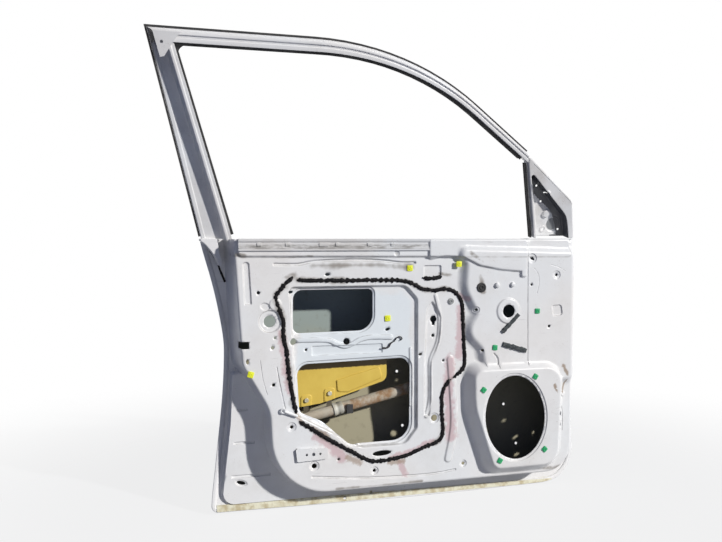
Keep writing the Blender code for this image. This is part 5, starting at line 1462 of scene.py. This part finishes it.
def cord(spots, radius, sides=8):
    """Rod through the given spots; its radius depends on the spot's number."""
    spots = [Vector(p) for p in spots]
    rings = []
    for k, at in enumerate(spots):
        run = (spots[min(k + 1, len(spots) - 1)] - spots[max(k - 1, 0)]).normalized()
        side = run.cross(Vector((0, 1, 0))).normalized()
        up = side.cross(run)
        rings.append([tuple(at + (side * math.cos(a) + up * math.sin(a)) * radius(k))
                      for a in (2 * math.pi * j / sides for j in range(sides))])
    bm = bmesh.new()
    extruded_ring(bm, rings)
    return bm


class DOOR_OT_wire_and_strip(bpy.types.Operator):
    """Bent wire clip between the openings, and the ragged strip on the shut face"""
    bl_idname = "door_shell.wire_and_strip"
    bl_label = "Wire clip and strip"

    def execute(self, context):
        route = smooth([(-0.5230, -0.1150), (-0.5075, -0.1135), (-0.5010, -0.1040), (-0.4920, -0.0985),
                        (-0.4850, -0.0905), (-0.4770, -0.0880), (-0.4715, -0.0930), (-0.4760, -0.0975)], 6)
        level = FIELD_Y - 0.0024
        spots = [(x, level - 0.0015 * math.sin(3 * k / len(route)), z) for k, (x, z) in enumerate(route)]
        wire = cord(spots, lambda k: 0.0014 + 0.0012 * max(0.0, noise.noise(Vector((k * 0.7, 2.0, 0.0))))
                    + 0.0006 * (k < 14))
        piece("bent_wire", wire, black_paint(), ["wire_clip"], crease=60)
        route = smooth([(-0.9338, 0.1308), (-0.9243, 0.1164), (-0.9123, 0.0970), (-0.9052, 0.0776),
                        (-0.8932, 0.0483)], 8)
        spots = [(x, surface_level(x, z, 0.001) - 0.0002, z) for x, z in route]
        strip = cord(spots, lambda k: 0.0012 + 0.0014 * k / len(route)
                     + 0.0014 * abs(noise.noise(Vector((k * 0.9, 6.0, 0.0)))))
        piece("ragged_strip", strip, butyl(), ["shut_strip"], crease=60)
        return {"FINISHED"}


class DOOR_OT_clips(bpy.types.Operator):
    """Yellow and green trim clips"""
    bl_idname = "door_shell.clips"
    bl_label = "Trim clips"

    def execute(self, context):
        chosen = settings()
        yellow = clip_plastic("Yellow plastic", tuple(chosen.yellow_clip))
        green = clip_plastic("Green plastic", tuple(chosen.green_clip))
        for i, (x, z, level) in enumerate(YELLOW_CLIPS, 1):
            trim_clip(f"yellow_fastener_{i}", x, z, level, yellow, "yellow_plastic", f"clip_yellow_{i}",
                      (0.0, 0.03, -0.04, 0.3)[i - 1])
        for i, (x, z, level) in enumerate(GREEN_CLIPS, 1):
            trim_clip(f"green_fastener_{i}", x, z, level, green, "green_plastic", f"clip_green_{i}",
                      (0.0, 0.1, 0.6, 0.7, 0.55, 0.8)[i - 1])
        return {"FINISHED"}


def tube_z(x):
    """Height of the tube's axis."""
    return TUBE_REAR[1] + (x - TUBE_REAR[0]) / (TUBE_FRONT[0] - TUBE_REAR[0]) * (TUBE_FRONT[1] - TUBE_REAR[1])


def tube_ring(x, radius, sides=40):
    """Ring square to the impact tube's axis."""
    tilt = math.atan2(TUBE_FRONT[1] - TUBE_REAR[1], TUBE_FRONT[0] - TUBE_REAR[0])
    return [(x - radius * math.cos(a) * math.sin(tilt), TUBE_Y + radius * math.sin(a),
             tube_z(x) + radius * math.cos(a) * math.cos(tilt))
            for a in (2 * math.pi * k / sides for k in range(sides))]


def closed_up(bm):
    """Joins the last ring to the first, where the two coincide."""
    bmesh.ops.remove_doubles(bm, verts=bm.verts, dist=WELD_REACH)
    bmesh.ops.recalc_face_normals(bm, faces=bm.faces)


class DOOR_OT_impact_tube(bpy.types.Operator):
    """Rusty impact tube and its clamp sleeve"""
    bl_idname = "door_shell.impact_tube"
    bl_label = "Impact tube"

    def execute(self, context):
        bm = bmesh.new()
        outer = [(x, TUBE_RADIUS) for x in np.linspace(TUBE_REAR[0] + 0.001, TUBE_FRONT[0] - 0.001, 60)]
        rings = [(TUBE_REAR[0], TUBE_RADIUS - 0.001)] + outer + [(TUBE_FRONT[0], TUBE_RADIUS - 0.001),
                                                               (TUBE_FRONT[0], TUBE_RADIUS - 0.002)]
        rings += [(TUBE_REAR[0], TUBE_RADIUS - 0.002), (TUBE_REAR[0], TUBE_RADIUS - 0.001)]
        extruded_ring(bm, [tube_ring(x, r) for x, r in rings], capped=False)
        closed_up(bm)
        piece("rusty_tube", bm, rusty_steel(), ["impact_tube"], crease=40)
        bm = bmesh.new()
        near, far = TUBE_RADIUS + GAP, TUBE_RADIUS + GAP + 0.002
        rings = [(-0.637, near), (-0.637, far - 0.0006), (-0.6364, far), (-0.6300, far),
                 (-0.6290, far - 0.0008), (-0.6240, far - 0.0008), (-0.6230, far), (-0.6126, far),
                 (-0.612, far - 0.0006), (-0.612, near), (-0.637, near)]
        extruded_ring(bm, [tube_ring(x, r) for x, r in rings], capped=False)
        closed_up(bm)
        piece("clamp_sleeve", bm, sleeve_coat(), ["tube_sleeve"], crease=40)
        return {"FINISHED"}


def bent_plate(outline, folds, level, thickness, grow=0.005):
    """Plate of an outline in X and Z whose level changes by the folds it is given."""
    def height(p):
        return level - sum(f.share(p) * f.rise for f in folds)

    lines = [ring for f in folds for ring in f.lines()]
    bm = sheet_from_outlines(resampled(outline, grow), lines, [], grow, height)
    return thickened(bm, thickness)


class DOOR_OT_yellow_plate(bpy.types.Operator):
    """Yellow plate with its raised fold and the two tabs of its screws"""
    bl_idname = "door_shell.yellow_plate"
    bl_label = "Yellow plate"

    def execute(self, context):
        low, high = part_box("yellow_plate")
        level = low[1] + 0.0018
        outline = rounded([(-0.775, -0.112, 0.004), (-0.499, -0.108, 0.004), (-0.499, -0.200, 0.018),
                           (-0.606, -0.232, 0.010), (-0.670, -0.250, 0.010), (-0.775, -0.262, 0.004)], 5)
        raised = rounded([(-0.628, -0.196, 0.002), (-0.520, -0.168, 0.002), (-0.512, -0.192, 0.006),
                          (-0.600, -0.224, 0.006), (-0.626, -0.222, 0.006)], 5)
        folds = [Form(raised, 0.0030, 0.0025, 0.0008, 0.0008)]
        for x, z in ((-0.705, -0.240), (-0.647, -0.226)):
            folds.append(Form(rounded([(x - 0.013, z + 0.010, 0.006), (x - 0.013, z - 0.020, 0.002),
                                       (x + 0.011, z - 0.018, 0.002), (x + 0.013, z + 0.013, 0.006)], 5),
                              0.0018, 0.0014, 0.0005, 0.0005))
        bm = bent_plate(outline, folds, level, min(0.0014, high[1] - level))
        piece("passivated_plate", bm, yellow_sheet(), ["yellow_plate"], crease=45)
        return {"FINISHED"}


class DOOR_OT_sash_foot(bpy.types.Operator):
    """Rounded tongue at the foot of the rear sash"""
    bl_idname = "door_shell.sash_foot"
    bl_label = "Sash foot"

    def execute(self, context):
        low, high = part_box("sash_foot")
        top = BELT_Z + 0.0010
        outline = [(-0.9610, top), (-0.9175, top), (-0.9131, 0.1265), (-0.9063, 0.0983),
                   (-0.9070, 0.0905), (-0.9122, 0.0889), (-0.9202, 0.1078), (-0.9294, 0.1219),
                   (-0.9408, 0.1360), (-0.9477, 0.1430)]
        outline = rounded([(x, z, 0.0025) for x, z in outline], 3)
        bm = drawn_out(outline, low[1] + 0.002, high[1])
        obj = piece("sash_tongue", bm, paint(), ["sash_foot"])
        eased(obj, 0.0012, 3)
        return {"FINISHED"}


class DOOR_OT_bracket_and_pin(bpy.types.Operator):
    """White bracket with three holes, and the ringed pin beside the lower opening"""
    bl_idname = "door_shell.bracket_and_pin"
    bl_label = "Bracket and pin"

    def execute(self, context):
        low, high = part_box("pull_bracket")
        face = rounded([(low[0], high[2] - 0.001, 0.004), (high[0], high[2] - 0.004, 0.003),
                        (high[0], low[2] + 0.003, 0.003), (low[0] + 0.004, low[2], 0.004)], 4)
        middle, x0 = (low[2] + high[2]) / 2, (low[0] + high[0]) / 2
        holes = [oval(x0 + 0.004 + 0.0165 * k, middle, 0.0030 + 0.0012 * (k == 0), sides=16)
                 for k in (-1, 0, 1)]
        plate = with_holes(face, holes, low[1], low[1] + 0.0012)
        inner = moved_in(face, 0.0012)
        rim = bmesh.new()
        extruded_ring(rim, [[(x, y, z) for x, z in ring] for y, ring in (
            (low[1] + 0.0012, face), (high[1], face), (high[1], inner), (low[1] + 0.0012, inner))],
            capped=False)
        obj = piece("bracket", joined([plate, rim]), paint(), ["pull_bracket"])
        obj.data.materials.append(black_paint())
        for facet in obj.data.polygons:
            upright = abs(facet.normal.y) < 0.5
            if upright and facet.center.y > low[1] + 0.0011 and facet.center.x < low[0] + 0.004:
                facet.material_index = 1
        start = Vector((-0.7683, FACE_Y - 0.0050, -0.2541))
        run = (Vector((-0.7342, FACE_Y - 0.0046, -0.2686)) - start).normalized()
        side = run.orthogonal().normalized()
        up = run.cross(side)

        def circle(at, radius):
            return [tuple(at + side * radius * math.cos(a) + up * radius * math.sin(a))
                    for a in (2 * math.pi * k / 20 for k in range(20))]

        rod = bmesh.new()
        extruded_ring(rod, [circle(start + run * d, r) for d, r in (
            (0.0, 0.0030), (0.0006, 0.0038), (0.0330, 0.0036), (0.0345, 0.0026), (0.0355, 0.0010))])
        eye = bmesh.new()
        rings = []
        for k in range(24):
            a = 2 * math.pi * k / 24
            out = Vector((math.cos(a), 0, math.sin(a)))
            at = start - run * 0.0030 + out * 0.0052
            rings.append([tuple(at + out * 0.0020 * math.cos(t) + Vector((0, 1, 0)) * 0.0020 * math.sin(t))
                          for t in (2 * math.pi * j / 10 for j in range(10))])
        extruded_ring(eye, rings + [rings[0]], capped=False)
        bmesh.ops.remove_doubles(eye, verts=eye.verts, dist=1e-6)
        piece("ringed_pin", joined([rod, eye]), paint(), ["stub_pin"])
        return {"FINISHED"}


class DOOR_OT_foam_and_grommets(bpy.types.Operator):
    """Foam strips and round plugs on the front of the panel"""
    bl_idname = "door_shell.foam_and_grommets"
    bl_label = "Foam and grommets"

    def execute(self, context):
        for name, node, start, end, width, seed in (
                ("foam_pad_upper", "foam_strip_upper", (-0.210, -0.083), (-0.165, -0.039), 0.011, 2.0),
                ("foam_pad_lower", "foam_strip_lower", (-0.208, -0.114), (-0.143, -0.133), 0.013, 8.0)):
            a, b = Vector(start), Vector(end)
            side = Vector((-(b - a).y, (b - a).x)).normalized()
            back = FRONT_Y - GAP
            stations = []
            for k in range(25):
                here = a.lerp(b, k / 24)
                half = width / 2 * (0.92 + 0.35 * noise.noise(Vector((k * 0.45, seed, 0))))
                shift = side * 0.0012 * noise.noise(Vector((k * 0.3, seed, 4)))
                high = 0.0050 * (0.85 + 0.3 * noise.noise(Vector((k * 0.6, seed, 6))))
                ring = []
                for u, v in ((-1, 0), (-0.98, 0.8), (-0.85, 1), (-0.3, 0.95), (0.3, 1.05), (0.85, 1),
                             (0.98, 0.8), (1, 0)):
                    spot = here + shift + side * half * u
                    ring.append((spot.x, back - high * v, spot.y))
                stations.append(ring)
            bm = bmesh.new()
            extruded_ring(bm, stations)
            piece(name, bm, foam(), [node], crease=60)
        for name, node, x, z, radius, level, finish, slot_name in (
                ("plug_black", "grommet_black", -0.268, 0.031, 0.0125, FRONT_Y, rubber(), "rubber"),
                ("plug_grey", "grommet_grey", -0.344, -0.003, 0.0080, FACE_Y, grey_primer(), "grey_paint")):
            profile = [(0.0, 1.0), (0.0012, 1.0), (0.0022, 0.94), (0.0028, 0.84), (0.0028, 0.70),
                       (0.0018, 0.64), (0.0018, 0.52), (0.0034, 0.46), (0.0036, 0.36), (0.0030, 0.28),
                       (0.0012, 0.24), (0.0010, 0.04)]
            bm = bmesh.new()
            extruded_ring(bm, [[(x + radius * share * math.cos(2 * math.pi * k / 32), level - GAP - rise,
                                 z + radius * share * math.sin(2 * math.pi * k / 32)) for k in range(32)]
                               for rise, share in profile])
            piece(name, bm, finish, [node], crease=50)
        return {"FINISHED"}


class DOOR_OT_carried_finishes(bpy.types.Operator):
    """Finishes of the solids that are shown as the model has them"""
    bl_idname = "door_shell.carried_finishes"
    bl_label = "Carried finishes"

    def execute(self, context):
        finishes = {
            "white_paint": paint(), "grey_paint": grey_primer(), "black_paint": black_paint(),
            "rubber": rubber(), "butyl": butyl(), "foam": foam(), "sealer": sealer(),
            "rusty_steel": rusty_steel(), "zinc": zinc(), "yellow_steel": yellow_sheet(),
            "yellow_plastic": clip_plastic("Yellow plastic", tuple(settings().yellow_clip)),
            "green_plastic": clip_plastic("Green plastic", tuple(settings().green_clip)),
        }
        slots = {s["node"]: s["material_slot"] for s in frame["record"]["subparts"]}
        for name, obj in frame["nodes"].items():
            # The plate straps are coloured as painted shade
            finish = strap_painted_shade() if name.startswith("plate_strap") else finishes[slots[name]]
            for k in range(len(obj.material_slots)):
                obj.material_slots[k].material = finish
            if name in ("division_bar", "corner_cap", "tube_lug", "plate_screw_1", "plate_screw_2"):
                weld = obj.modifiers.new("weld", "WELD")
                weld.merge_threshold = WELD_REACH
                eased(obj)
        return {"FINISHED"}


def seen_rays(tree):
    """1 for a ray that comes from the eye, at once or by a mirror or glass."""
    rays = tree.nodes.new("ShaderNodeLightPath").outputs
    return maths(tree, "MAXIMUM", maths(tree, "MAXIMUM", rays["Is Camera Ray"], rays["Is Glossy Ray"]),
                 rays["Is Transmission Ray"])


class DOOR_OT_stage(bpy.types.Operator):
    """Pale floor, soft lights and the camera"""
    bl_idname = "door_shell.stage"
    bl_label = "Stage"

    def execute(self, context):
        chosen = settings()
        scene = context.scene
        bm = bmesh.new()
        bmesh.ops.create_grid(bm, x_segments=1, y_segments=1, size=4.0)
        bmesh.ops.translate(bm, vec=(FLOOR_MIDDLE, 0, CAD_BOX[0][2] - 0.001), verts=bm.verts)
        mesh = bpy.data.meshes.new("floor")
        bm.to_mesh(mesh)
        bm.free()
        floor = bpy.data.objects.new("floor", mesh)
        scene.collection.objects.link(floor)
        made, tree, shader, place = new_material("Pale floor")
        shader.inputs["Base Color"].default_value = FLOOR_COLOUR
        shader.inputs["Roughness"].default_value = 0.9
        shader.inputs["Specular IOR Level"].default_value = 0.0
        light = wired(tree, "ShaderNodeEmission", {"Strength": 1.0})
        blend = wired(tree, "ShaderNodeMixShader", {0: maths(tree, "MULTIPLY", seen_rays(tree), FLOOR_GLOW),
                                                   1: shader.outputs[0], 2: light.outputs[0]})
        away = wired(tree, "ShaderNodeVectorMath", {0: place, 1: (FLOOR_MIDDLE, 0.0, CAD_BOX[0][2])},
                     operation="DISTANCE").outputs["Value"]
        clear = tree.nodes.new("ShaderNodeBsdfTransparent")
        fade = wired(tree, "ShaderNodeMixShader", {0: spread(tree, away, *FLOOR_FADE), 1: blend.outputs[0],
                                                  2: clear.outputs[0]})
        tree.links.new(fade.outputs[0], tree.nodes["Material Output"].inputs["Surface"])
        mesh.materials.append(made)

        world = bpy.data.worlds.new("Soft sky")
        world.use_nodes = True
        scene.world = world
        tree = world.node_tree
        back = tree.nodes["Background"]
        back.inputs["Color"].default_value = SKY_COLOUR
        back.inputs["Strength"].default_value = chosen.sky_strength
        white = wired(tree, "ShaderNodeBackground", {"Color": (1.0, 1.0, 1.0, 1.0), "Strength": 1.0})
        blend = wired(tree, "ShaderNodeMixShader", {0: seen_rays(tree), 1: back.outputs[0],
                                                   2: white.outputs[0]})
        tree.links.new(blend.outputs[0], tree.nodes["World Output"].inputs["Surface"])

        key = bpy.data.lights.new("key", "SUN")
        key.energy = chosen.sun_strength
        key.color = SUN_COLOUR
        key.angle = SUN_SPREAD
        lamp = bpy.data.objects.new("key", key)
        lamp.rotation_euler = Vector(SUN_TRAVEL).to_track_quat("-Z", "Y").to_euler()
        lamp.location = (1.0, -1.2, 1.2)
        scene.collection.objects.link(lamp)

        lens = bpy.data.cameras.new("camera")
        lens.sensor_width = SENSOR_WIDTH
        lens.lens = LENS_PIXELS / PICTURE_WIDTH * SENSOR_WIDTH
        eye = bpy.data.objects.new("camera", lens)
        ahead = Vector((math.sin(CAMERA_YAW) * math.cos(CAMERA_DIP),
                        math.cos(CAMERA_YAW) * math.cos(CAMERA_DIP), -math.sin(CAMERA_DIP)))
        eye.location = CAMERA_PLACE
        eye.rotation_euler = ahead.to_track_quat("-Z", "Y").to_euler()
        scene.collection.objects.link(eye)
        scene.camera = eye
        scene.view_settings.view_transform = "Standard"
        return {"FINISHED"}


STEPS = (DOOR_OT_carried_finishes, DOOR_OT_inner_panel, DOOR_OT_outer_skin, DOOR_OT_window_frame,
         DOOR_OT_mirror_triangle, DOOR_OT_sash_foot, DOOR_OT_belt, DOOR_OT_beads,
         DOOR_OT_wire_and_strip, DOOR_OT_clips, DOOR_OT_impact_tube, DOOR_OT_yellow_plate,
         DOOR_OT_bracket_and_pin, DOOR_OT_foam_and_grommets, DOOR_OT_stage)


class DOOR_PT_shell(bpy.types.Panel):
    """Steps and settings of the door shell"""
    bl_idname = "DOOR_PT_shell"
    bl_label = "Door Shell"
    bl_space_type = "VIEW_3D"
    bl_region_type = "UI"
    bl_category = "Door Shell"

    def draw(self, context):
        for step in STEPS:
            self.layout.operator(step.bl_idname)
        for name in DoorShellSettings.__annotations__:
            self.layout.prop(context.scene.door_shell, name)


def register():
    for cls in (DoorShellSettings, *STEPS, DOOR_PT_shell):
        bpy.utils.register_class(cls)
    bpy.types.Scene.door_shell = PointerProperty(type=DoorShellSettings)


def unregister():
    del bpy.types.Scene.door_shell
    for cls in (DOOR_PT_shell, *reversed(STEPS), DoorShellSettings):
        bpy.utils.unregister_class(cls)


def main():
    register()
    for step in STEPS:
        group, action = step.bl_idname.split(".")
        getattr(getattr(bpy.ops, group), action)()


if __name__ == "__main__":
    main()
